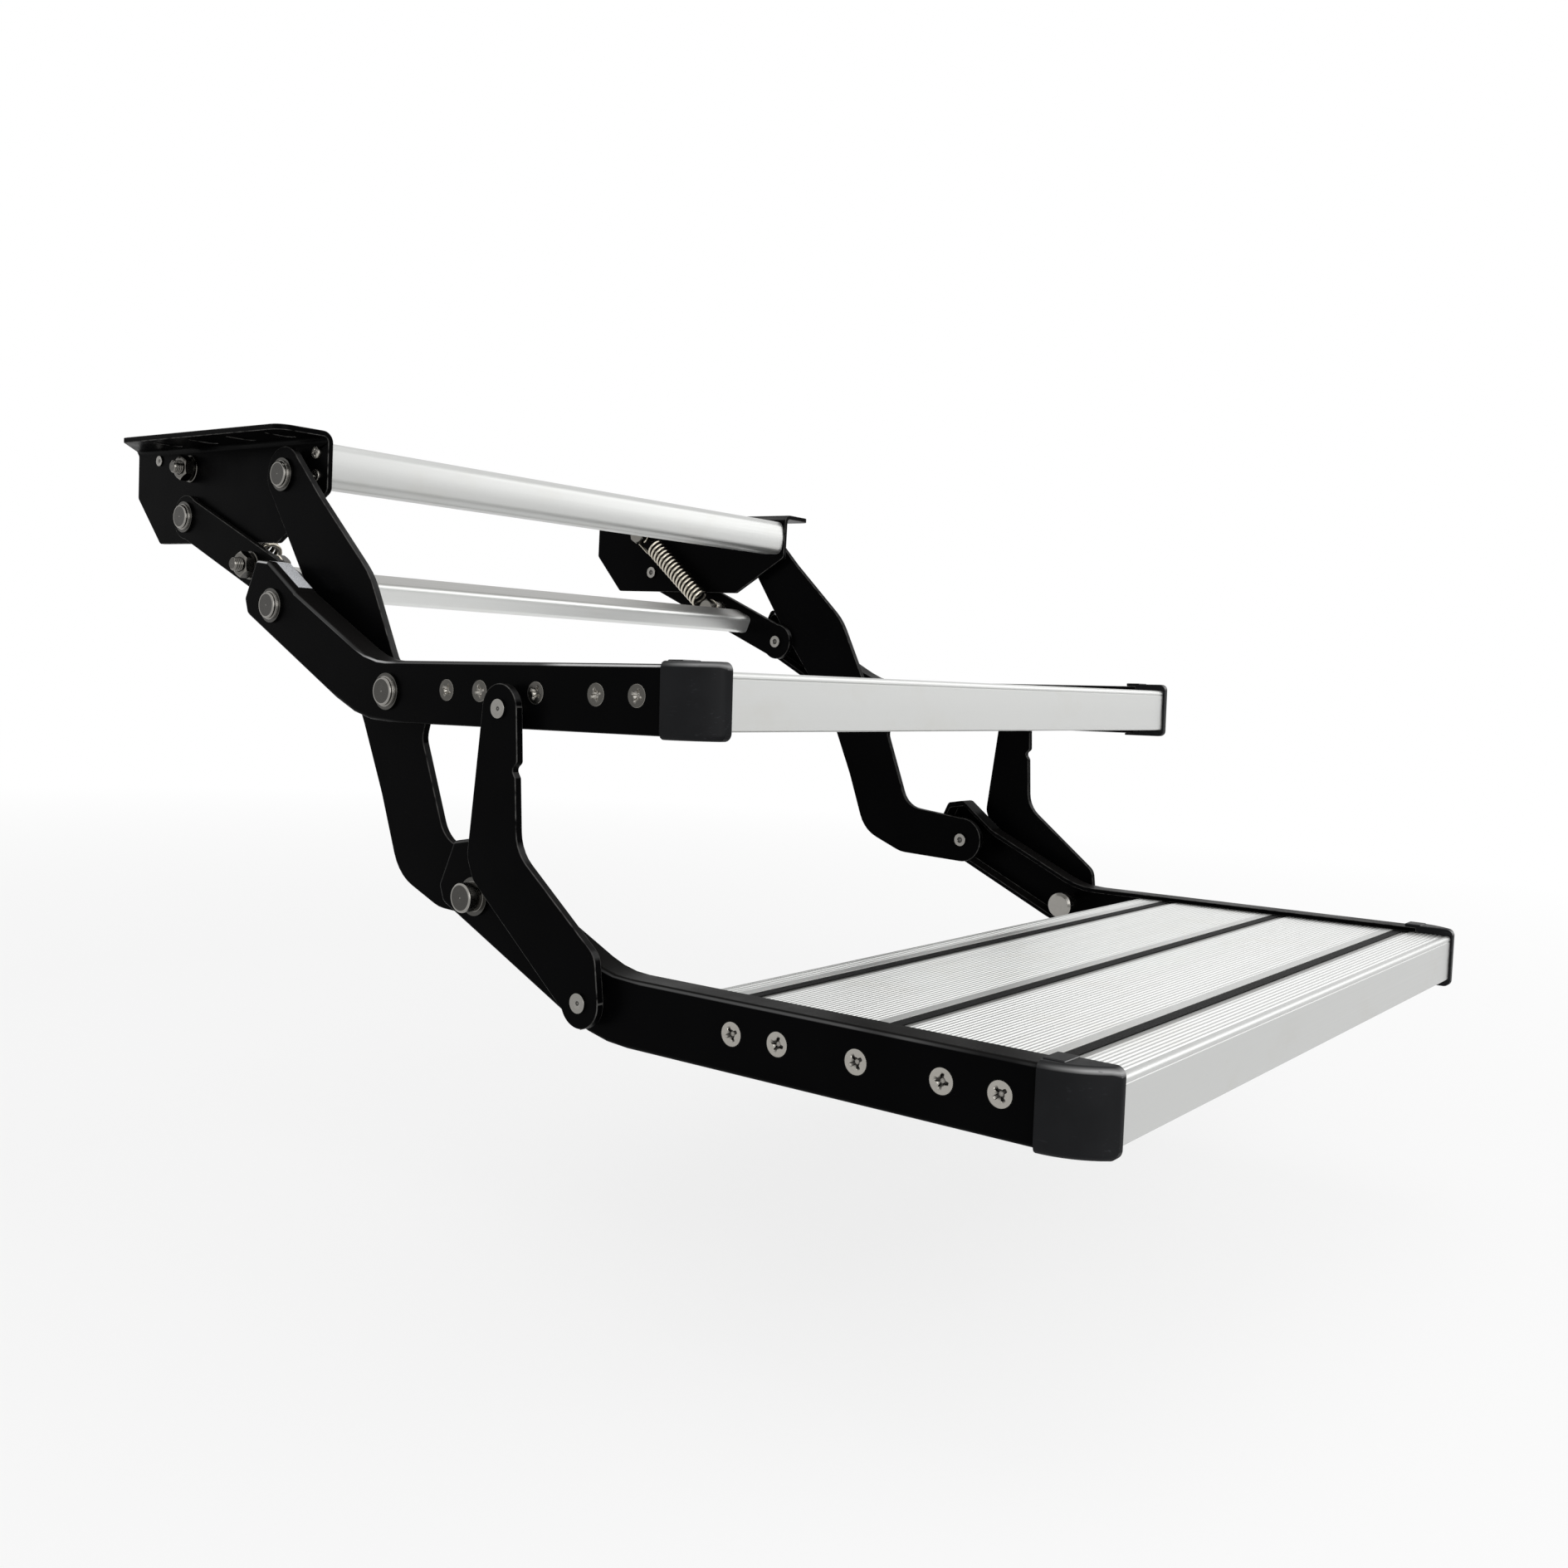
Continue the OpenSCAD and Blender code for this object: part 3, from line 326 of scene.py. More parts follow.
def black_coat_finish(colours, name="black_coat", glint=0.075, label=None):
    """Smooth black coating with a faint orange peel, a little dust, edges made lighter partly by
    wear and partly by a painted highlight, and painted light on its upward faces.

    glint is how bright the painted highlight on its level, rounded upper edges is; on the sloping
    ones it is dimmer.
    label lays a patch of blank film over it: a share from 0 to 1, made by label(tree).
    """
    # Painted light: lit_top lightens faces that look up, and sloping_glint is the painted
    # highlight on sloping rounded edges.
    lit_top, sloping_glint = (0.0075, 0.007, 0.0068), 0.05
    # The rim colour stands partly for wear down to bare steel and partly for a painted highlight.
    worn_and_lit_edge, dust = (0.085, 0.083, 0.080), (0.09, 0.085, 0.08)
    finish, tree, shader = new_finish(name, Specular_IOR_Level=0.015)
    plain = stretched(tree)
    base = tuple(colours.black_coat)
    cloud = ramp(tree, noise(tree, plain, 14.0, 4.0), 0.35, 0.7)
    coat = mixed(tree, cloud, base, shade(base, 1.8))
    # Painted light: faces that look up are lighter.
    coat = mixed(tree, looking(tree, "Z", 0.55, 1.0), coat, lit_top)
    # Painted highlight on the rounded upper edges, broken into dashes, brighter where the edge is
    # level.
    broken = span(tree, noise(tree, plain, 11.0, 2.0), 0.42, 0.60, 0.15, 1.0)
    light = mixed(tree, looking(tree, "Y", -0.22, -0.10), grey(sloping_glint), grey(glint))
    coat = mixed(tree, times(tree, bend_light(tree, 0.30, 0.85), broken), coat, light)
    # Rounded edges lightened in patches: partly worn finish, partly a painted highlight.
    coat = mixed(tree, times(tree, rim_share(tree, 0.30, 0.60), 0.8), coat, worn_and_lit_edge)
    coat = mixed(tree, times(tree, specks(tree, 300.0, 0.13, 0.025), 0.35), coat, dust)
    if label:
        film = tuple(colours.label_film)
        grain = ramp(tree, noise(tree, plain, 1500.0, 3.0, 0.7), 0.4, 0.65)
        blank = mixed(tree, grain, shade(film, 0.75), shade(film, 1.3))
        coat = mixed(tree, label(tree), coat, blank)
    gloss = span(tree, noise(tree, plain, 30.0, 5.0), 0.3, 0.7, 0.26, 0.40)
    peel = bump(tree, noise(tree, plain, 700.0, 2.0), 0.10, 0.0001)
    feed(tree, shader, coat, gloss, bump(tree, noise(tree, plain, 60.0, 1.0), 0.06, 0.0006, peel))
    return finish


def within(tree, value, low, high):
    """One where a value lies between low and high, with edges half a millimetre soft."""
    soft = 0.25 * MM
    rising = ramp(tree, value, low - soft, low + soft)
    return times(tree, rising, span(tree, value, high - soft, high + soft, 1.0, 0.0))


def frame_label(tree):
    """Where the blank film lies on the upper lip of an upper frame, by the toggle pivot."""
    behind, beyond = 27.0 * MM, 13.0 * MM
    inner_edge, outer_edge = 280.0 * MM, 294.4 * MM
    under_lip_top, lip_top = 19.3 * MM, 19.6 * MM
    first_ones = (solids(node)[0] for node in ("toggle_rivets", "upper_step_pins"))
    toggle, pivot = (Vector((solid.y, solid.z)) for solid in first_ones)
    ahead = (pivot - toggle).normalized()
    above = Vector((ahead.y, -ahead.x))
    place = add_node(tree, "ShaderNodeTexCoord").outputs["Object"]

    def reach(way):
        vectors = {0: place, 1: (0.0, way.x, way.y)}
        made = add_node(tree, "ShaderNodeVectorMath", vectors, operation="DOT_PRODUCT")
        return made.outputs["Value"], way.dot(toggle)

    along, start = reach(ahead)
    height, level = reach(above)
    across = add_node(tree, "ShaderNodeSeparateXYZ", {"Vector": place}).outputs["X"]
    side = calculated(tree, "ABSOLUTE", across)
    patch = times(
        tree,
        within(tree, along, start - behind, start + beyond),
        within(tree, side, inner_edge, outer_edge),
    )
    return times(tree, patch, ramp(tree, height, level + under_lip_top, level + lip_top))


def aluminium_finish(colours, name="anodised_aluminium", tint=1.0):
    """Satin anodised aluminium with die lines along the extrusion, faint stains, and painted shade
    where its mesh carries it.
    """
    finish, tree, shader = new_finish(name, Metallic=0.88)
    # A tint above 1 makes a lighter copy of the aluminium, which is painted light.
    base = shade(tuple(colours.aluminium), tint)
    stain, shaded = tinted(base, (0.90, 0.87, 0.81)), tinted(base, (0.42, 0.41, 0.40))
    die_lines = noise(tree, stretched(tree, (3, 900, 900)), 1.0, 3.0, 0.6)
    patches = noise(tree, stretched(tree, (1, 1, 1.6)), 16.0, 5.0, 0.62)
    metal = mixed(tree, die_lines, shade(base, 0.95), shade(base, 1.04))
    metal = mixed(tree, times(tree, ramp(tree, patches, 0.52, 0.72), 0.30), metal, stain)
    # Painted shade that the mesh carries on its faces: a tread's grooves and lands, the tie bar's
    # upper side.
    metal = mixed(tree, face_value(tree, "tone"), metal, shaded)
    drawn = bump(tree, die_lines, 0.05, 0.00008)
    matt = bump(tree, noise(tree, stretched(tree), 2500.0, 2.0), 0.02, 0.00005, drawn)
    feed(tree, shader, metal, span(tree, die_lines, 0.3, 0.7, 0.34, 0.46), matt)
    return finish


def turned_finish(name, base, low, high, marks):
    """Turned or drawn steel: fine marks that follow the UV's second direction, darker random
    blotches, and painted shade that the mesh carries on its faces.

    low and high are the roughness of its clean spots and of its duller blotches.
    """
    finish, tree, shader = new_finish(name, Metallic=1.0)
    uv = add_node(tree, "ShaderNodeTexCoord").outputs["UV"]
    ringed = add_node(tree, "ShaderNodeMapping", {"Vector": uv, "Scale": (3.0, 2600.0, 1.0)})
    cut = noise(tree, ringed.outputs["Vector"], 1.0, 2.0, 0.6)
    blotch = noise(tree, stretched(tree), 150.0, 3.0)
    steel = mixed(tree, cut, shade(base, 0.90), shade(base, 1.12))
    # Painted shade and painted reflection that the mesh carries on its faces.
    steel = mixed(tree, face_value(tree, "tone"), steel, shade(base, 0.10))
    dull_and_shade = times(tree, span(tree, blotch, 0.55, 0.85, 0.0, 0.30), 0.8)
    steel = mixed(tree, dull_and_shade, steel, shade(base, 0.5))
    rough = span(tree, blotch, 0.3, 0.7, low, high)
    feed(tree, shader, steel, rough, bump(tree, cut, marks, 0.00005))
    return finish


def rubber_finish(colours):
    """Dull black rubber with a little lint along its ribs."""
    finish, tree, shader = new_finish("grip_rubber", Specular_IOR_Level=0.10)
    base = tuple(colours.grip_rubber)
    grain = noise(tree, stretched(tree), 1400.0, 3.0)
    lint = span(tree, noise(tree, stretched(tree, (8, 300, 300)), 1.0, 3.0), 0.55, 0.8, 0.0, 0.5)
    rubber = mixed(tree, lint, base, shade(base, 4.0))
    rough = span(tree, grain, 0.3, 0.7, 0.55, 0.75)
    feed(tree, shader, rubber, rough, bump(tree, grain, 0.35, 0.0002))
    return finish


def cap_finish(colours):
    """Moulded charcoal plastic with a fine grain and rubbed, scuffed corners, and a painted
    highlight along its rounded upper edge.
    """
    rim_glint = 0.30
    finish, tree, shader = new_finish("cap_plastic", Specular_IOR_Level=0.08)
    base = tuple(colours.cap_plastic)
    plain = stretched(tree)
    cloud = noise(tree, plain, 40.0, 4.0)
    body = mixed(tree, ramp(tree, cloud, 0.35, 0.7), base, shade(base, 1.5))
    # Painted highlight along the rounded upper edge, strongest where it faces forward, fading to
    # the rear, in patches.
    ahead = span(tree, looking(tree, "Y", -0.42, -0.02), 0.0, 1.0, 1.0, 0.12)
    patchy = span(tree, cloud, 0.3, 0.6, 0.6, 1.0)
    glint = times(tree, bend_light(tree, 0.05, 0.96, 0.42), times(tree, ahead, patchy))
    body = mixed(tree, glint, body, grey(rim_glint))
    body = mixed(tree, times(tree, rim_share(tree, 0.35, 0.7), 0.5), body, shade(base, 4.0))
    scratches = noise(tree, stretched(tree, (500, 60, 900)), 1.0, 2.0)
    rubbed_spots = ramp(tree, noise(tree, plain, 55.0, 2.0), 0.5, 0.62)
    scuffs = times(tree, ramp(tree, scratches, 0.62, 0.68), rubbed_spots)
    body = mixed(tree, times(tree, scuffs, 0.6), body, shade(base, 5.0))
    rough = span(tree, cloud, 0.3, 0.7, 0.40, 0.52)
    feed(tree, shader, body, rough, bump(tree, noise(tree, plain, 1600.0, 2.0), 0.22, 0.0001))
    return finish


def steel_maker(name, base, low, high, marks, factor=1.0):
    """A maker of turned steel; base names its colour among the step's colours."""
    return lambda colours: turned_finish(
        name, shade(tuple(getattr(colours, base)), factor), low, high, marks
    )


FINISH_MAKERS = {
    "black_steel": black_coat_finish,
    # The upper frames get a brighter painted highlight on their level bends, and their blank
    # labels.
    "labelled_frame": lambda c: black_coat_finish(c, "labelled_frame", 0.55, frame_label),
    "anodised_aluminium": aluminium_finish,
    # The tie bar's aluminium is a lighter copy: painted light for its brightly lit front face.
    "tie_bar_aluminium": lambda c: aluminium_finish(c, "tie_bar_aluminium", 1.4),
    "pin_steel": steel_maker("pin_steel", "pin_steel", 0.18, 0.28, 0.02),
    "zinc_steel": steel_maker("zinc_steel", "zinc_steel", 0.20, 0.32, 0.02),
    "bolt_zinc": steel_maker("bolt_zinc", "zinc_steel", 0.18, 0.30, 0.02, factor=0.5),
    "spring_steel": steel_maker("spring_steel", "spring_steel", 0.14, 0.24, 0.03),
    "grip_rubber": rubber_finish,
    "cap_plastic": cap_finish,
}
finishes = {}


def finish_for(kind):
    """The material of one kind of surface, made once."""
    if kind not in finishes:
        finishes[kind] = FINISH_MAKERS[kind](bpy.context.scene.step_colours)
    return finishes[kind]


# Meshes


def add_object(name, data):
    made = bpy.data.objects.new(name, data)
    bpy.context.scene.collection.objects.link(made)
    return made


def even_shading(piece):
    """Keeps large flat faces flat in the shading, and lets only their rounded edges bend it."""
    weighted = piece.modifiers.new("even_shading", "WEIGHTED_NORMAL")
    weighted.keep_sharp = True
    weighted.weight = 100
    shaded = bpy.data.meshes.new_from_object(
        piece.evaluated_get(bpy.context.evaluated_depsgraph_get())
    )
    rough, piece.data = piece.data, shaded
    piece.modifiers.clear()
    name = rough.name
    bpy.data.meshes.remove(rough)
    shaded.name = name


def place_piece(name, bm, slot, node, flat_angle=40.0, kind=None):
    """Makes the object of one piece: gives it its finish, puts it on its CAD node's body and hides
    that node.

    kind is the finish, where it isn't the slot's own.
    """
    mesh = bpy.data.meshes.new(name)
    bm.to_mesh(mesh)
    bm.free()
    mesh.polygons.foreach_set("use_smooth", [True] * len(mesh.polygons))
    mesh.set_sharp_from_angle(angle=radians(flat_angle))
    mesh.materials.append(finish_for(kind or slot))
    piece = add_object(name, mesh)
    even_shading(piece)
    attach(piece, frame["nodes"][node]["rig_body"])
    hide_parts(node)
    return piece


def islands(items, neighbours):
    """The connected groups among items; neighbours(item) gives what lies next to one."""
    left, found = set(items), []
    for first in items:
        if first not in left:
            continue
        left.discard(first)
        stack, group = [first], []
        while stack:
            here = stack.pop()
            group.append(here)
            near = [other for other in neighbours(here) if other in left]
            left.difference_update(near)
            stack.extend(dict.fromkeys(near))
        found.append(group)
    return found


def largest_loop(edges):
    """The connected set of edges that spans the most space."""
    def touching(edge):
        return [other for vert in edge.verts for other in vert.link_edges]

    def reach(group):
        points = [vert.co for edge in group for vert in edge.verts]
        return sum(max(p[k] for p in points) - min(p[k] for p in points) for k in range(3))

    return max(islands(edges, touching), key=reach)


def sharp_edges(bm, angle=28.0, outer_only=False):
    limit = radians(angle)
    return [
        e for e in bm.edges
        if len(e.link_faces) == 2 and e.calc_face_angle() > limit
        and (e.is_convex or not outer_only)
    ]


def round_edges(bm, edges, width, segments, rim=None):
    """Rounds the edges, and marks the new faces as rim."""
    made = bmesh.ops.bevel(
        bm, geom=edges, offset=width, offset_type="OFFSET", segments=segments,
        profile=0.5, affect="EDGES", clamp_overlap=False, loop_slide=True,
    )
    if rim is not None:
        for face in made["faces"]:
            face[rim] = 1.0


def welded(node):
    """A copy of a CAD node's mesh whose triangles share their corners."""
    bm = bmesh.new()
    bm.from_mesh(frame["nodes"][node].data)
    bmesh.ops.remove_doubles(bm, verts=bm.verts[:], dist=0.002 * MM)
    return bm


def cad_mesh(node):
    """A welded copy of a CAD node's mesh, with its flat faces made whole."""
    bm = welded(node)
    bmesh.ops.dissolve_limit(
        bm, angle_limit=radians(0.6), verts=bm.verts[:], edges=bm.edges[:], delimit=set()
    )
    return bm


def sort_parts(bm):
    """Puts corners and faces in an order that their places alone decide."""
    for parts, place in (
        (bm.verts, lambda vert: vert.co), (bm.faces, lambda face: face.calc_center_median()),
    ):
        in_order = sorted(parts, key=lambda part: tuple(place(part)))
        ranks = {part: rank for rank, part in enumerate(in_order)}
        parts.sort(key=ranks.get)


def add_uv_from_x(bm):
    """UV for the drawn finishes: the second direction runs across the piece."""
    layer = bm.loops.layers.uv.new("marks")
    for face in bm.faces:
        for loop in face.loops:
            loop[layer].uv = (loop.vert.co.x, loop.vert.co.y + loop.vert.co.z)


def paint_top_shade(bm):
    """Painted shade: darkens the upper side of the tie bar, which looks up at the caravan's floor.
    """
    tone = bm.faces.layers.float.new("tone")
    for face in bm.faces:
        face[tone] = min(0.85, max(0.0, (face.normal.z - 0.2) / 0.5))


def paint_groove_shade(bm):
    """Painted shade: darkens a tread's grooves and lands, its upward faces by their depth under
    the ribs.
    """
    tone = bm.faces.layers.float.new("tone")
    up = [f for f in bm.faces if f.normal.z > 0.99]
    way = max(up, key=lambda f: f.calc_area()).normal.copy()
    top = max(v.co.dot(way) for v in bm.verts)
    for face in up:
        depth = top - max(v.co.dot(way) for v in face.verts)
        if depth < 3.0 * MM:
            face[tone] = min(1.0, depth / (0.8 * MM)) * 0.75


def dressed_copy(
    name, node, slot, width, segments=2, bend=0.0, outer_only=False, kind=None, angle=32.0
):
    """A copy of a CAD node with rounded edges; bend also rounds its web's outer outline."""
    bm = cad_mesh(node)
    if node.endswith("_tread"):
        paint_groove_shade(bm)
    if node == "tie_bar":
        paint_top_shade(bm)
    rim = bm.faces.layers.float.new("rim")
    if bend > 0.0:
        outside = max(abs(v.co.x) for v in bm.verts)
        on_web = [
            e for e in sharp_edges(bm)
            if all(abs(abs(v.co.x) - outside) < 0.01 * MM for v in e.verts)
        ]
        round_edges(bm, largest_loop(on_web), bend, 5)
        sort_parts(bm)
    if width > 0.0:
        round_edges(bm, sharp_edges(bm, angle, outer_only), width, segments, rim)
    sort_parts(bm)
    add_uv_from_x(bm)
    return place_piece(name, bm, slot, node, kind=kind)


def solids(node):
    """The separate solids of a CAD node, in the order of their sides and places.

    side is 1 or -1, y and z are a solid's middle, inner and outer its distances from the
    middle of the step, radius is half its height, and index its place in the list.
    """
    bm, found = welded(node), []
    for group in islands(bm.verts[:], lambda v: [edge.other_vert(v) for edge in v.link_edges]):
        low, high = ([pick(v.co[k] for v in group) for k in range(3)] for pick in (min, max))
        x, y, z = ((a + b) / 2 for a, b in zip(low, high))
        ends = sorted((abs(low[0]), abs(high[0])))
        found.append((1 if x > 0 else -1, y, z, *ends, (high[2] - low[2]) / 2))
    bm.free()
    found.sort(key=lambda values: (values[0], round(values[1], 5), round(values[2], 5), values[3]))
    return [Solid(*values, index) for index, values in enumerate(found)]


def eased(profile, radius):
    """A profile of (x, r) points whose corners are cut back by radius in a small arc."""
    points = [Vector(p) for p in profile]
    made = [points[0]]
    for before, corner, after in zip(points, points[1:], points[2:]):
        one, two = before - corner, after - corner
        cut = min(radius, one.length * 0.4, two.length * 0.4)
        if cut < 0.01 * MM:
            made.append(corner)
            continue
        start, end = corner + one.normalized() * cut, corner + two.normalized() * cut
        for share in (0.0, 0.3, 0.7, 1.0):
            bent = start.lerp(corner, share).lerp(corner.lerp(end, share), share)
            made.append(bent)
    made.append(points[-1])
    return [tuple(p) for p in made]


def ring_point(ring, angle):
    """The (x, r) of a ring at an angle; a ring is one such pair or a function that makes it."""
    return ring(angle) if callable(ring) else ring


def skin(bm, solid, rings, segments=48, closed=False, tones=None):
    """Skins rings round a solid's axis; each ring is (x, r) or a function of the angle.

    closed joins the last ring to the first, as for a tube. tones gives the painted shade
    of the band after a ring. The UV runs round the axis and then along the rings.
    """
    uv = bm.loops.layers.uv.get("marks") or bm.loops.layers.uv.new("marks")
    tone = bm.faces.layers.float.get("tone") or bm.faces.layers.float.new("tone")
    rows, along, travelled, last = [], [], 0.0, None
    for ring in rings:
        row = []
        for j in range(segments):
            angle = 2 * pi * j / segments
            x, r = ring_point(ring, angle)
            row.append(bm.verts.new((
                solid.side * x, solid.y + r * cos(angle), solid.z + r * sin(angle)
            )))
            if j == 0:
                first = Vector((x, r))
        travelled += (first - last).length if last is not None else 0.0
        last = first
        rows.append(row)
        along.append(travelled)
    pairs = list(zip(range(len(rows) - 1), range(1, len(rows))))
    if closed:
        pairs.append((len(rows) - 1, 0))
    for a, b in pairs:
        for j in range(segments):
            k = (j + 1) % segments
            face = bm.faces.new((rows[a][j], rows[a][k], rows[b][k], rows[b][j]))
            spots = ((j, a), (j + 1, a), (j + 1, b), (j, b))
            for loop, (turn, row) in zip(face.loops, spots):
                loop[uv].uv = (turn / segments, along[row])
            face[tone] = tones(a, 2 * pi * (j + 0.5) / segments) if tones else 0.0
    if not closed:
        for row, travelled in ((rows[0], along[0]), (rows[-1], along[-1])):
            face = bm.faces.new(row)
            for loop in face.loops:
                loop[uv].uv = (0.5, travelled)


def dark_face(rings, radius, beyond, washer=1.0):
    """Painted shade that darkens a solid's end face, inside a radius and beyond an x, and its
    washer.

    The dimple in its other end gets painted shade too; the rim between them stays lighter.
    """
    dimple_tone, face_tone, washer_tone, rim_tone = 0.9, 0.88, 0.86, 0.15
    end = min(x for x, r in rings)

    def tone(ring, angle):
        x, r = rings[ring]
        if x < end + 1.1 * MM and r < 2.6 * MM:
            return dimple_tone
        if r <= radius and x > beyond:
            return face_tone
        return washer_tone if r >= washer else rim_tone
    return tone


def painted_hex_reflection(angle):
    """Painted reflection: each side of a hexagon mirrors the room differently."""
    side = int((angle + pi / 6) / (pi / 3)) % 6
    return (0.25, 0.70, 0.85, 0.45, 0.80, 0.05)[side]


def hexagon(flats):
    """Radius of a hexagon at an angle."""
    def radius(angle):
        return flats / 2 / cos((angle + pi / 6) % (pi / 3) - pi / 6)
    return radius


def hex_rings(x0, x1, flats, chamfer_low=False):
    """Rings of a hexagon whose corners are cut by a cone, from x0 outwards to x1."""
    radius, flat = hexagon(flats), flats * 0.475
    slope = tan(radians(30))

    def crown(x, way):
        return lambda angle: (x - way * (radius(angle) - flat) * slope, radius(angle))

    low = [(x0, flat), crown(x0, -1)] if chamfer_low else [lambda angle: (x0, radius(angle))]
    return low + [crown(x1, 1), (x1, flat)]


def turned_over(ring, x0, x1):
    """A ring turned end for end between x0 and x1."""
    def at(angle):
        x, r = ring_point(ring, angle)
        return (x0 + x1 - x, r)
    return at


def thread_rings(x0, x1, outer, pitch):
    """Rings of a screw thread that turns once in each pitch."""
    depth, steps = 0.5 * pitch, max(2, round((x1 - x0) / pitch * 6))

    def ring(x):
        def at(angle):
            turn = (x / pitch - angle / (2 * pi)) % 1.0
            return (x, outer - depth * (1 - abs(2 * turn - 1)) ** 1.3)
        return at

    return [ring(x0 + (x1 - x0) * i / steps) for i in range(steps + 1)]


# The step's own pieces


def pin_tail(sizes, tail):
    """Profile of a pin's riveted inner end with its dimple, up to the shank."""
    shoulder = tail + sizes.tail_height
    return [
        (tail + sizes.dimple_depth, MIDDLE), (tail + sizes.dimple_depth, sizes.dimple_radius),
        (tail, sizes.dimple_radius + 0.4 * MM), (tail, sizes.tail_radius),
        (shoulder, sizes.tail_radius), (shoulder, sizes.pin_radius),
    ]


def pin_head(sizes, face, under, flanged=True):
    """Profile of a pin's washer and head, from the shank to the middle of the face."""
    head, washer, cut = sizes.head_radius, sizes.washer_radius, sizes.head_cut
    seat, sunk = under + sizes.washer_thick, face - 0.15 * MM
    flange = head + sizes.flange_step
    step = [(seat, flange), (under + 3.0 * MM, flange), (under + 3.0 * MM, head)]
    return [
        (under, sizes.pin_radius), (under, washer), (seat, washer),
        *(step if flanged else [(seat, head)]),
        (face - cut, head), (face, head - cut), (face, head - cut - 0.4 * MM),
        (sunk, head - cut - 0.7 * MM), (sunk, MIDDLE),
    ]


def skin_pin(bm, solid, sizes, profile):
    """Skins a headed pin, whose face and washer are darker than its rim."""
    rings = eased(profile, 0.25 * MM)
    face = sizes.head_radius - sizes.head_cut - 0.6 * MM
    washer = sizes.head_radius + 0.9 * MM
    skin(bm, solid, rings, tones=dark_face(rings, face, solid.outer - MM, washer))


def pivot_pin(bm, solid, sizes, long_head):
    """Pin with washer, head and riveted tail."""
    face = solid.outer
    under = face - (sizes.long_head_height if long_head else sizes.head_height)
    profile = pin_tail(sizes, solid.inner) + pin_head(sizes, face, under, not long_head)
    skin_pin(bm, solid, sizes, profile)


def open_pin(bm, solid, sizes, head):
    """Half of a pivot that is split where two bodies meet: with a head, or with a tail."""
    start, end, shank = solid.inner, solid.outer, sizes.pin_radius
    if head:
        profile = [(start, MIDDLE), (start, shank), *pin_head(sizes, end, end - sizes.head_height)]
        skin_pin(bm, solid, sizes, profile)
        return
    rings = eased(pin_tail(sizes, start) + [(end, shank), (end, MIDDLE)], 0.25 * MM)
    skin(bm, solid, rings, tones=dark_face(rings, 0.0, end))


def tube(bm, solid, bore):
    """Spacer tube or washer with broken edges."""
    outer, x0, x1 = solid.radius, solid.inner, solid.outer
    cut = 0.25 * MM
    rings = [
        (x0 + cut, outer), (x1 - cut, outer), (x1, outer - cut), (x1, bore + cut),
        (x1 - cut, bore), (x0 + cut, bore), (x0, bore + cut), (x0, outer - cut),
    ]
    skin(bm, solid, rings, closed=True)


def pin_or_spacer(bm, solid, sizes, long_head):
    """The pins of a node have a wide washer; its other solids are spacer washers."""
    if solid.radius > sizes.washer_radius - 0.25 * MM:
        pivot_pin(bm, solid, sizes, long_head)
    else:
        tube(bm, solid, sizes.pin_radius)


def flat_rivet(bm, solid, shank, height):
    """Rivet with a flat head and a dimple in its middle."""
    face, start, head = solid.outer, solid.inner, solid.radius
    sunk = face - 0.65 * MM
    profile = [
        (start, MIDDLE), (start, shank), (face - height, shank), (face - height, head),
        (face, head), (face, 2.9 * MM), (sunk, 1.1 * MM), (sunk, 0.3 * MM),
    ]
    rings = eased(profile, 0.3 * MM)
    skin(bm, solid, rings, tones=dark_face(rings, 2.2 * MM, face - MM))


def cross_depth(angle, r, turn, half, deep):
    """Depth of a cross recess at a polar point of a screw's head."""
    a, b = abs(r * cos(angle - turn)), abs(r * sin(angle - turn))
    width = half * 0.21

    def slot(along, across):
        side = min(1.0, max(0.0, (width - across) / (width * 0.35) + 0.35))
        end = min(1.0, max(0.0, (half - along) / (half * 0.45)))
        return side * end

    middle = max(0.0, 1.0 - r / (half * 0.62))
    return deep * max(slot(a, b), slot(b, a), min(1.0, middle * 1.7))


def cross_head(bm, solid, turn, edge_x, crown, deep, below, dull_and_shade=0.0):
    """Domed head with a cross recess; below continues the profile down to the shank's end.

    The last argument darkens the head's face, a painted reflection of darker surroundings, where
    the recess then stands out bright.
    """
    head = solid.radius
    half, lit_middle = head * 0.66, 1.2 * MM
    steps = [0.3 + 0.3 * i for i in range(14)] + [4.6, 5.2, 5.8, 6.2]
    inside = [round(r, 1) * MM for r in steps if round(r, 1) * MM < head - 0.45 * MM]

    def ring(r):
        top = edge_x + crown * (1 - (r / head) ** 2)
        return lambda angle: (top - cross_depth(angle, r, turn, half, deep), r)

    # Painted shade in the cross recess, less of it in the middle; on a darkened head the face
    # takes the painted shade and the recess stays bright.
    def dark(row, angle):
        if row >= len(inside):
            return 0.0
        recess = min(1.0, 1.3 * cross_depth(angle, inside[row], turn, half, 1.0))
        if inside[row] < lit_middle:
            recess *= 0.35
        return dull_and_shade * (1 - recess) if dull_and_shade else recess

    rings = [ring(r) for r in inside] + [(edge_x + 0.02 * MM, head - 0.2 * MM)] + below
    skin(bm, solid, rings, segments=96, tones=dark)


def frame_screw(bm, solid, sizes, first_turn, dull_and_shade):
    """Countersunk screw with a slightly domed, cross-recessed head."""
    turn = first_turn + 0.83 * solid.index
    face, end, head = solid.outer, solid.inner, solid.radius
    shank, seat, crown = sizes.screw_radius, face - 0.4 * MM, 0.12 * MM
    below = [
        (face - 0.25 * MM, head), (seat, head), (seat - sizes.screw_cone, shank),
        (end + 1.2 * MM, shank), (end, shank * 0.6), (end, MIDDLE),
    ]
    cross_head(bm, solid, turn, face - crown, crown, 1.7 * MM, below, dull_and_shade)


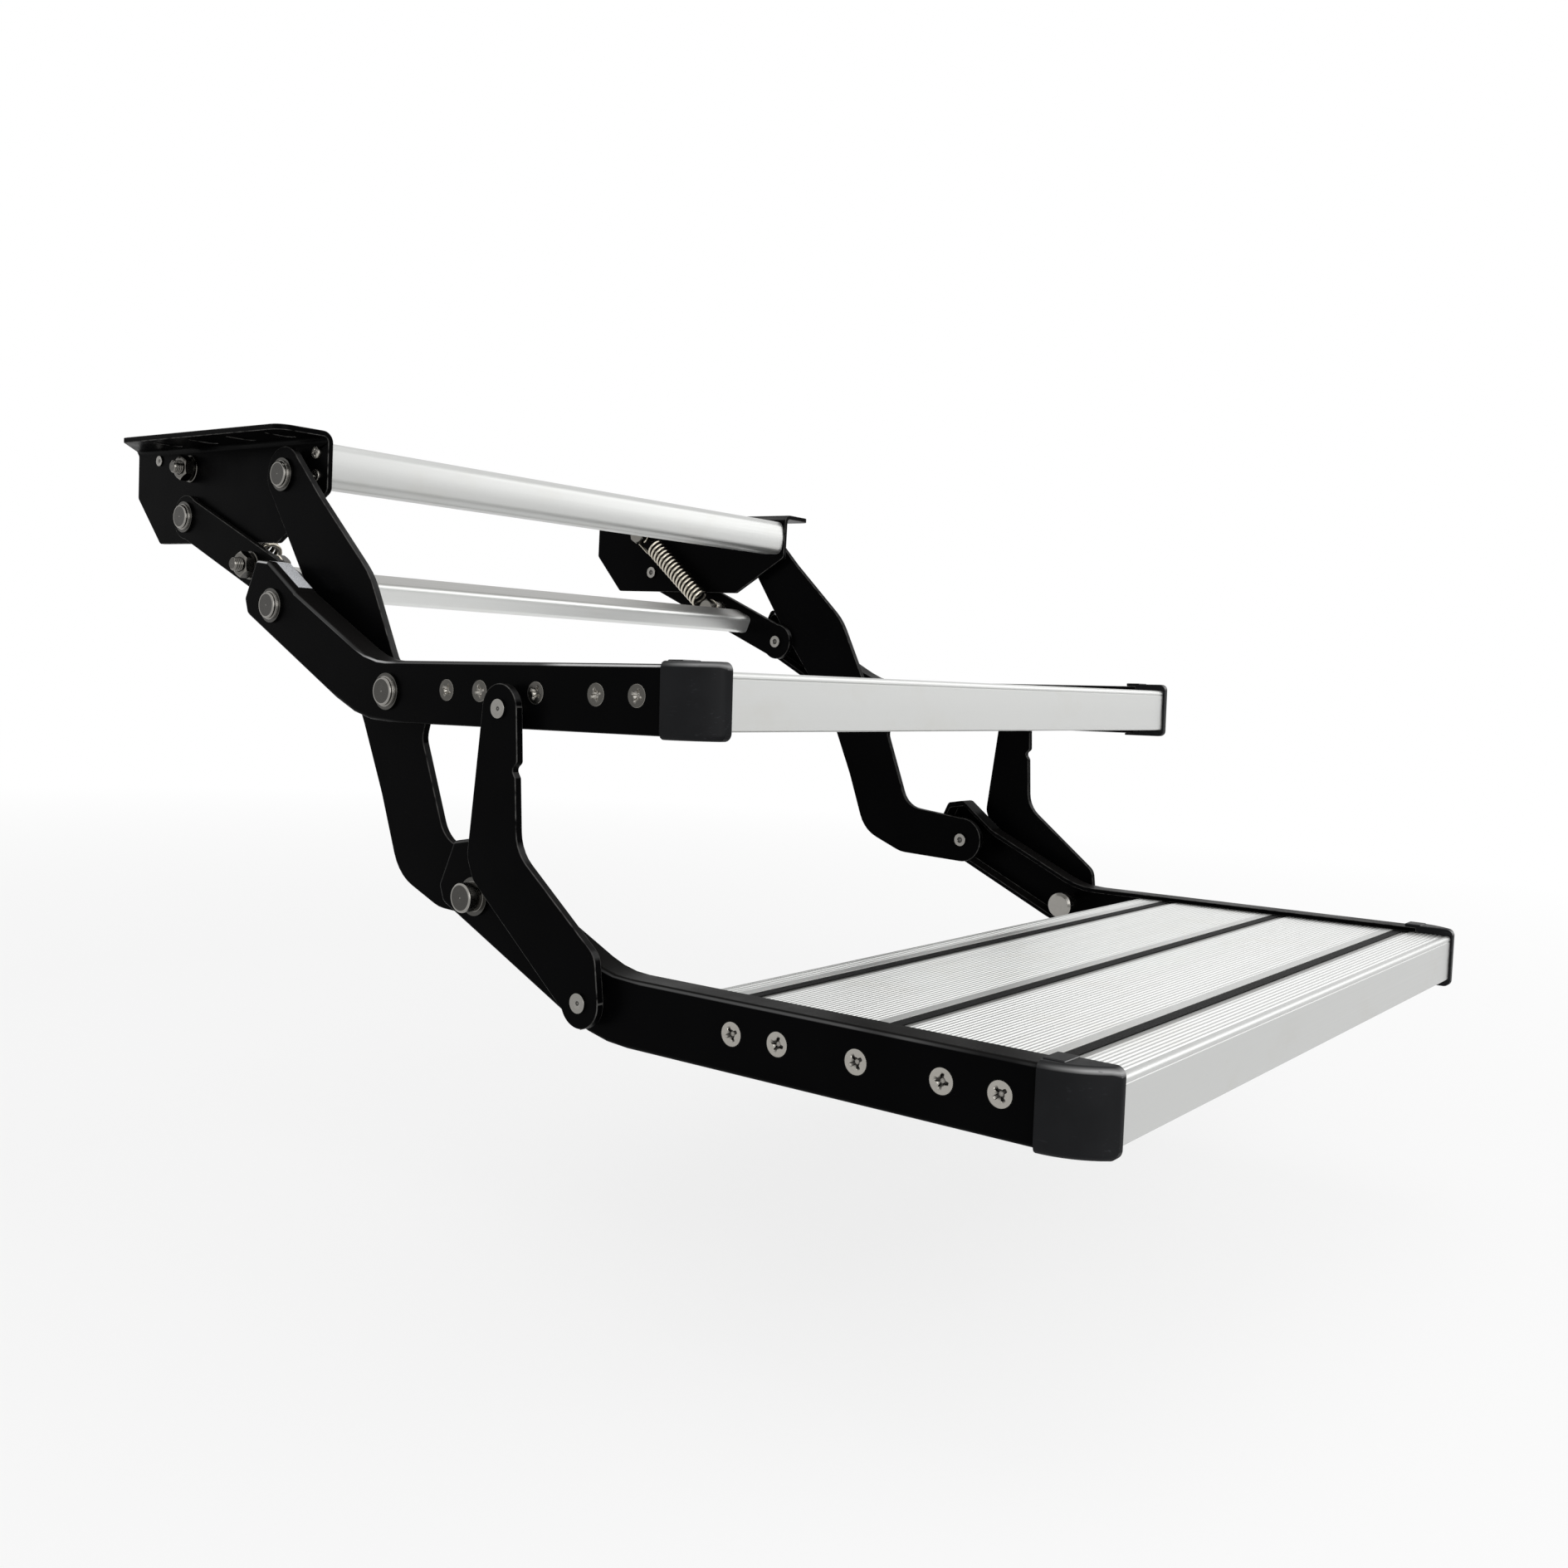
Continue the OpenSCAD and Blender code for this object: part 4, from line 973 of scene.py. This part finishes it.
def pan_screw(bm, solid):
    """Small pan-head screw of the front cross bar."""
    turn = 0.4 + 1.1 * solid.index
    face, end, head = solid.outer, solid.inner, solid.radius
    shank, seat, crown = 2.45 * MM, face - 2.0 * MM, 0.45 * MM
    below = [
        (face - 0.9 * MM, head), (seat, head), (seat, shank),
        (end + MM, shank), (end, 1.4 * MM), (end, MIDDLE),
    ]
    cross_head(bm, solid, turn, face - crown, crown, 1.3 * MM, below)


def spring_bolt(bm, solid, sizes):
    """Hexagon bolt whose head lies inside the spring's eye, with thread at its outer end."""
    inner, outer, radius = solid.inner, solid.outer, sizes.bolt_radius
    head_x, thread_x = inner + sizes.bolt_head, outer - 18.0 * MM
    recess, point = inner + 0.25 * MM, outer - 0.9 * MM
    head = hex_rings(inner, head_x, sizes.bolt_flats)
    rings = [(recess, 0.5 * MM), (recess, 5.0 * MM), (inner, 5.7 * MM)]
    rings += [turned_over(ring, inner, head_x) for ring in reversed(head)]
    rings += [(head_x, radius), (thread_x, radius)]
    rings += thread_rings(thread_x + 0.3 * MM, outer - MM, radius, sizes.thread_pitch)
    rings += [(point, radius - 0.7 * MM), (outer, radius - 1.2 * MM), (outer, MIDDLE)]

    # Painted shade in the thread's grooves and on the bolt's end; the hexagon's sides get painted
    # reflection.
    def tone(row, angle):
        x, r = ring_point(rings[row], angle)
        if thread_x < x < outer - MM:
            return min(0.9, 1.6 * (radius - r) / (0.5 * sizes.thread_pitch))
        if x > outer - 0.1 * MM:
            return 0.6
        return painted_hex_reflection(angle) if x <= head_x and r > 7.0 * MM else 0.0

    skin(bm, solid, rings, segments=72, tones=tone)


def bolt_or_bush(bm, solid, sizes):
    """The bolts of a node are long; its other solids are bushes in the springs' eyes."""
    if solid.outer - solid.inner > 20.0 * MM:
        spring_bolt(bm, solid, sizes)
    else:
        tube(bm, solid, sizes.bolt_radius)


def washer_and_nut(bm, solid, sizes):
    """Flat washer with a hexagon nut on it."""
    inner, outer, washer = solid.inner, solid.outer, solid.radius
    bore, seat, cut = sizes.bolt_radius, inner + sizes.bolt_washer, 0.3 * MM
    nut = seat + 0.35 * MM
    rings = [
        (inner, bore), (inner, washer - cut), (inner + cut, washer), (seat - cut, washer),
        (seat, washer - cut), (seat, sizes.bolt_flats * 0.46), (nut, sizes.bolt_flats * 0.475),
    ]
    rings += hex_rings(nut, outer, sizes.bolt_flats, chamfer_low=True)[1:]
    rings += [(outer, bore + 0.7 * MM), (outer - 0.7 * MM, bore)]

    def tone(row, angle):
        # Painted shade and reflection by band: 0 to 5 are the washer, 7 is the nut's sides, and
        # from 9 on its end and bore
        if row < 6:
            return 0.55 if row in (2, 4) else 0.15
        if row == 7:
            return painted_hex_reflection(angle)
        return 0.45 if row >= 9 else 0.1

    skin(bm, solid, rings, segments=72, closed=True, tones=tone)


def foot_bush(bm, solid, sizes):
    """Stepped guide bush under the foot of a brace."""
    x0, x1 = solid.inner, solid.outer
    wide, neck, rivet = solid.radius, sizes.head_radius, sizes.rivet_radius
    flange, web_inner, web_outer = x0 + 8.0 * MM, x1 - 8.8 * MM, x1 - 5.3 * MM
    profile = [
        (x0, MIDDLE), (x0, wide - 2.5 * MM), (x0 + 1.5 * MM, wide), (flange, wide),
        (flange, neck), (web_inner, neck), (web_inner, rivet), (web_outer, rivet),
        (web_outer, neck), (x1, neck), (x1, MIDDLE),
    ]
    skin(bm, solid, eased(profile, 0.4 * MM))


def spring_path(sizes, top, foot, x):
    """Points of one spring wire, with an eye round the bolt at either end."""
    coil = (sizes.spring_diameter - sizes.spring_wire) / 2
    way = Vector((0, foot.y - top.y, foot.z - top.z))
    whole = way.length
    axis = way.normalized()
    beside = Vector((0, -axis.z, axis.y))
    across = Vector((1, 0, 0))
    start = Vector((x, top.y, top.z))
    curl_part = whole - sizes.spring_lead - sizes.spring_tail
    hook = 3.0 * MM

    def point(s, a, c):
        return start + s * axis + a * beside + c * across

    def eye(middle, direction):
        return [
            point(middle - direction * coil * sin(t), coil * cos(t), -direction * hook)
            for t in (radians(d) for d in range(300, -1, -12))
        ]

    def bend(place, direction):
        return [
            point(place - direction * hook * (1 - sin(t)), coil, -direction * hook * cos(t))
            for t in (radians(d) for d in (0, 20, 40, 60))
        ]

    per_curl = 26
    count = sizes.spring_curls * per_curl
    curls = [
        point(
            sizes.spring_lead + curl_part * i / count,
            coil * cos(2 * pi * i / per_curl), coil * sin(2 * pi * i / per_curl),
        )
        for i in range(count + 1)
    ]
    head = eye(0.0, 1) + bend(sizes.spring_lead, 1)
    tail = eye(whole, -1) + bend(sizes.spring_lead + curl_part, -1)
    return head + curls + list(reversed(tail)), axis


def sweep(bm, path, radius, start, axis, sides=12):
    """Round wire along a path, without twist, with rounded ends.

    Painted shade: its sides that don't look away from the spring's axis are darker.
    """
    uv = bm.loops.layers.uv.new("marks")
    tone = bm.faces.layers.float.new("tone")
    rows, along, travelled = [], [], 0.0
    normal = None
    for i, spot in enumerate(path):
        ahead = path[min(i + 1, len(path) - 1)] - path[max(i - 1, 0)]
        ahead.normalize()
        if normal is None:
            normal = ahead.orthogonal()
        normal = (normal - normal.dot(ahead) * ahead).normalized()
        other = ahead.cross(normal)
        shrink = 0.7 if i in (0, len(path) - 1) else 1.0
        rows.append([
            bm.verts.new(spot + radius * shrink * (cos(a) * normal + sin(a) * other))
            for a in (2 * pi * k / sides for k in range(sides))
        ])
        travelled += (spot - path[i - 1]).length if i else 0.0
        along.append(travelled)
    for i in range(len(rows) - 1):
        for k in range(sides):
            n = (k + 1) % sides
            face = bm.faces.new((rows[i][k], rows[i][n], rows[i + 1][n], rows[i + 1][k]))
            out = path[i] - start
            out = (out - out.dot(axis) * axis).normalized()
            look = (rows[i][k].co + rows[i][n].co - 2 * path[i]).normalized()
            face[tone] = min(0.95, max(0.0, 1.35 - 1.6 * look.dot(out)))
            spots = ((k, i), (k + 1, i), (k + 1, i + 1), (k, i + 1))
            for loop, (turn, row) in zip(face.loops, spots):
                loop[uv].uv = (along[row] * 20.0, turn / sides * 0.004)
    bm.faces.new(rows[0])
    bm.faces.new(rows[-1])
    bmesh.ops.recalc_face_normals(bm, faces=bm.faces[:])


# Operators


class StepOperator:
    """What the step's operators share."""

    bl_options = {"REGISTER", "UNDO"}

    def execute(self, context):
        self.build(context.scene.step_sizes)
        return {"FINISHED"}


def dress_plates(sizes, *members):
    """The flat black plates of both sides."""
    for side in SIDES:
        for member in members:
            node = f"{member}_{side}"
            dressed_copy(f"{node}_plate", node, "black_steel", sizes.plate_edge)


def dress_group(name, node, slot, make, *values, kind=None):
    """One piece for all the solids of a node; make(bm, solid, *values) builds each of them."""
    bm = bmesh.new()
    for solid in solids(node):
        make(bm, solid, *values)
    bmesh.ops.recalc_face_normals(bm, faces=bm.faces[:])
    place_piece(name, bm, slot, node, kind=kind)


class STEP_OT_brackets(StepOperator, Operator):
    """Builds the two caravan brackets and their small rivets"""

    bl_idname = "caravan_step.brackets"
    bl_label = "Brackets"

    def build(self, sizes):
        dress_plates(sizes, "bracket")
        shank, height = 2.5 * MM, 1.2 * MM
        dress_group(
            "bracket_rivet_heads", "bracket_rivets", "pin_steel", flat_rivet, shank, height
        )


class STEP_OT_arms_and_links(StepOperator, Operator):
    """Builds the main arms and the rear links"""

    bl_idname = "caravan_step.arms_and_links"
    bl_label = "Arms and Links"

    def build(self, sizes):
        dress_plates(sizes, "arm", "rear_link")


class STEP_OT_cross_bars(StepOperator, Operator):
    """Builds the front cross bar with its screws, and the flat tie bar"""

    bl_idname = "caravan_step.cross_bars"
    bl_label = "Cross Bars"

    def build(self, sizes):
        dressed_copy("front_cross_bar", "cross_bar", "anodised_aluminium", sizes.bar_edge)
        dressed_copy(
            "rear_tie_bar", "tie_bar", "anodised_aluminium", sizes.bar_edge,
            kind="tie_bar_aluminium",
        )
        dress_group("cross_bar_pan_screws", "cross_bar_screws", "zinc_steel", pan_screw)


class STEP_OT_step_frames(StepOperator, Operator):
    """Builds the C-shaped frames of both steps, with the upper ones' blank labels"""

    bl_idname = "caravan_step.step_frames"
    bl_label = "Step Frames"

    def build(self, sizes):
        for step, kind in (("upper", "labelled_frame"), ("lower", None)):
            for side in SIDES:
                node = f"{step}_frame_{side}"
                dressed_copy(
                    f"{node}_channel", node, "black_steel", sizes.plate_edge * 0.7,
                    bend=sizes.frame_bend, kind=kind,
                )


class STEP_OT_treads(StepOperator, Operator):
    """Builds the ribbed treads and their grip strips"""

    bl_idname = "caravan_step.treads"
    bl_label = "Treads"

    def build(self, sizes):
        for step in STEPS:
            for made, node, slot, edge in (
                ("tread_plank", "tread", "anodised_aluminium", sizes.tread_edge),
                ("rubber_strips", "grip_strips", "grip_rubber", sizes.strip_edge),
            ):
                dressed_copy(f"{step}_{made}", f"{step}_{node}", slot, edge)


class STEP_OT_end_caps(StepOperator, Operator):
    """Builds the moulded caps on the front corners of both steps"""

    bl_idname = "caravan_step.end_caps"
    bl_label = "End Caps"

    def build(self, sizes):
        for step in STEPS:
            dressed_copy(
                f"{step}_corner_caps", f"{step}_end_caps", "cap_plastic", sizes.cap_edge, 3,
                outer_only=True, angle=60.0,
            )


class STEP_OT_frame_screws(StepOperator, Operator):
    """Builds the countersunk screws that hold the treads"""

    bl_idname = "caravan_step.frame_screws"
    bl_label = "Frame Screws"

    def build(self, sizes):
        # The upper screws' heads are darkened as a painted reflection of darker surroundings;
        # their recesses stay bright.
        for step, first_turn, dull_and_shade in (("upper", 0.35, 0.85), ("lower", 0.9, 0.0)):
            dress_group(
                f"{step}_tread_screws", f"{step}_frame_screws", "zinc_steel",
                frame_screw, sizes, first_turn, dull_and_shade,
            )


class STEP_OT_pins(StepOperator, Operator):
    """Builds the pivot pins, their spacers and the rivets of the braces"""

    bl_idname = "caravan_step.pins"
    bl_label = "Pins and Rivets"

    def build(self, sizes):
        pin, rivet = sizes.pin_radius, sizes.rivet_radius
        for node, make, *values in (
            ("arm_pivot_pins", pin_or_spacer, sizes, False),
            ("link_pivot_pins", pin_or_spacer, sizes, False),
            ("upper_step_pins", pin_or_spacer, sizes, False),
            ("lower_step_pins", pin_or_spacer, sizes, True),
            ("toggle_pins", open_pin, sizes, True),
            ("toggle_rivets", open_pin, sizes, False),
            ("upper_step_spacers", tube, pin),
            ("lower_step_spacers", tube, pin),
            ("toggle_spacers", tube, pin),
            ("brace_top_spacers", tube, rivet),
            ("brace_top_rivets", flat_rivet, rivet, 1.6 * MM),
            ("brace_foot_rivets", flat_rivet, rivet, 1.6 * MM),
            ("brace_foot_bushes", foot_bush, sizes),
        ):
            dress_group(f"{node}_turned", node, "pin_steel", make, *values)


class STEP_OT_braces(StepOperator, Operator):
    """Builds the braces between the two steps"""

    bl_idname = "caravan_step.braces"
    bl_label = "Braces"

    def build(self, sizes):
        dress_plates(sizes, "brace")


class STEP_OT_spring_bolts(StepOperator, Operator):
    """Builds the hexagon bolts, nuts and bushes that hold the springs"""

    bl_idname = "caravan_step.spring_bolts"
    bl_label = "Spring Bolts"

    def build(self, sizes):
        for place in ("bracket", "link"):
            for part, make in (("bolts", bolt_or_bush), ("nuts", washer_and_nut)):
                name, node = f"{place}_hex_{part}", f"{place}_spring_{part}"
                dress_group(name, node, "zinc_steel", make, sizes, kind="bolt_zinc")
        dress_group(
            "link_spring_bushes_turned", "link_spring_bushes", "zinc_steel",
            tube, sizes.bolt_radius,
        )


class STEP_OT_springs(StepOperator, Operator):
    """Builds the two extension springs"""

    bl_idname = "caravan_step.springs"
    bl_label = "Springs"

    def build(self, sizes):
        nuts = zip(solids("bracket_spring_nuts"), solids("link_spring_nuts"))
        for side, (top, foot) in zip(SIDES, nuts):
            node = f"spring_{side}"
            low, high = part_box(node)
            middle = (low.x + high.x) / 2
            path, axis = spring_path(sizes, top, foot, abs(middle))
            if middle < 0:
                path = [Vector((-p.x, p.y, p.z)) for p in path]
            anchor = (middle, top.y, top.z)
            bm = bmesh.new()
            sweep(bm, path, sizes.spring_wire / 2, Vector(anchor), axis)
            piece = place_piece(f"{node}_wire", bm, "spring_steel", node, 80.0)
            tuple(axis)
            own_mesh(piece)


def seen_or_mirrored(tree):
    """One for the camera's own rays and for those that metal or glass mirrors."""
    path = add_node(tree, "ShaderNodeLightPath")
    seen = path.outputs["Is Camera Ray"]
    for name in ("Is Glossy Ray", "Is Transmission Ray"):
        seen = calculated(tree, "MAXIMUM", seen, path.outputs[name])
    return seen


class STEP_OT_studio(StepOperator, Operator):
    """Builds the pale floor, the soft lamps and the camera"""

    bl_idname = "caravan_step.studio"
    bl_label = "Studio"

    def build(self, sizes):
        scene = bpy.context.scene
        scene.view_settings.view_transform = "Standard"
        self.build_camera(scene)
        self.build_world(scene)
        self.build_floor(tuple(scene.step_colours.floor))
        for name, place, height, size, watts in (
            ("key", (-1.5, -2.7, 0.6), -0.25, 2.2, 38.0),
            ("fill", (2.4, -1.8, 1.0), -0.25, 2.0, 14.0),
            ("top", (0.2, -0.4, 2.6), -0.3, 2.4, 10.0),
        ):
            self.build_lamp(name, place, (0.0, height, -0.2), size, watts)

    def build_camera(self, scene):
        """The camera that was fitted to the photo."""
        place = (-0.8999, -1.0226, -0.1450)
        yaw, pitch, roll = radians(37.82), radians(-4.71), radians(3.15)
        ahead = Vector((cos(yaw) * cos(pitch), sin(yaw) * cos(pitch), sin(pitch)))
        level = ahead.cross(Vector((0, 0, 1))).normalized()
        upright = level.cross(ahead)
        right = cos(roll) * level + sin(roll) * upright
        up = -sin(roll) * level + cos(roll) * upright
        data = bpy.data.cameras.new("photo_camera")
        data.sensor_width = 36.0
        data.lens = 33.97
        camera = add_object("photo_camera", data)
        turned = Matrix((right, up, -ahead)).transposed().to_4x4()
        camera.matrix_world = Matrix.Translation(place) @ turned
        scene.camera = camera

    def build_world(self, scene):
        """White where it is seen or mirrored, softer where it only lights."""
        only_lights, seen = 0.62, 1.0
        world = bpy.data.worlds.new("studio")
        world.use_nodes = True
        tree = world.node_tree
        background = tree.nodes["Background"]
        strength = span(tree, seen_or_mirrored(tree), 0.0, 1.0, only_lights, seen)
        tree.links.new(strength, background.inputs["Strength"])
        background.inputs["Color"].default_value = (1.0, 1.0, 1.0, 1.0)
        scene.world = world

    def build_floor(self, base):
        """Pale floor under the step, which turns white away from it."""
        half_width, gap = 14.0, 0.16
        near, far, near_glow = 0.8, 2.6, 0.72
        bm = bmesh.new()
        bmesh.ops.create_grid(bm, x_segments=8, y_segments=8, size=half_width)
        bmesh.ops.translate(bm, verts=bm.verts[:], vec=(0, 0, cad_box[0][2] - gap))
        mesh = bpy.data.meshes.new("studio_floor")
        bm.to_mesh(mesh)
        bm.free()
        paint = (*base, 1.0)
        finish, tree, shader = new_finish("studio_floor", Base_Color=paint, Roughness=0.9)
        glow = add_node(tree, "ShaderNodeEmission", {"Color": (1, 1, 1, 1), "Strength": 1.0})
        place = add_node(tree, "ShaderNodeTexCoord").outputs["Object"]
        away = add_node(tree, "ShaderNodeVectorMath", {0: place}, operation="LENGTH")
        share = span(tree, away.outputs["Value"], near, far, near_glow, 1.0)
        glow_share = times(tree, seen_or_mirrored(tree), share)
        blend = add_node(
            tree, "ShaderNodeMixShader",
            {"Fac": glow_share, 1: shader.outputs[0], 2: glow.outputs[0]},
        )
        tree.links.new(blend.outputs[0], tree.nodes["Material Output"].inputs["Surface"])
        mesh.materials.append(finish)
        add_object("studio_floor", mesh)

    def build_lamp(self, name, place, target, size, watts):
        data = bpy.data.lights.new(name, "AREA")
        data.shape = "DISK"
        data.size = size
        data.energy = watts
        lamp = add_object(name, data)
        lamp.location = place
        aim = Vector(target) - Vector(place)
        lamp.rotation_euler = aim.to_track_quat("-Z", "Y").to_euler()


class STEP_PT_panel(Panel):
    """Lists the step's builders, sizes and colours"""

    bl_label = "Caravan Step"
    bl_space_type = "VIEW_3D"
    bl_region_type = "UI"
    bl_category = "Caravan Step"

    def draw(self, context):
        for operator in OPERATORS:
            self.layout.operator(operator.bl_idname)
        for group in (context.scene.step_sizes, context.scene.step_colours):
            box = self.layout.box()
            for name in group.__annotations__:
                box.prop(group, name)


OPERATORS = (
    STEP_OT_studio,
    STEP_OT_brackets,
    STEP_OT_cross_bars,
    STEP_OT_arms_and_links,
    STEP_OT_step_frames,
    STEP_OT_treads,
    STEP_OT_end_caps,
    STEP_OT_frame_screws,
    STEP_OT_pins,
    STEP_OT_braces,
    STEP_OT_spring_bolts,
    STEP_OT_springs,
)
CLASSES = (StepSizes, StepColours, *OPERATORS, STEP_PT_panel)


def register():
    for cls in CLASSES:
        bpy.utils.register_class(cls)
    bpy.types.Scene.step_sizes = PointerProperty(type=StepSizes)
    bpy.types.Scene.step_colours = PointerProperty(type=StepColours)


def unregister():
    del bpy.types.Scene.step_colours
    del bpy.types.Scene.step_sizes
    for cls in reversed(CLASSES):
        bpy.utils.unregister_class(cls)


def main():
    register()
    for operator in OPERATORS:
        group, name = operator.bl_idname.split(".")
        getattr(getattr(bpy.ops, group), name)()
    bpy.context.view_layer.update()


if __name__ == "__main__":
    main()
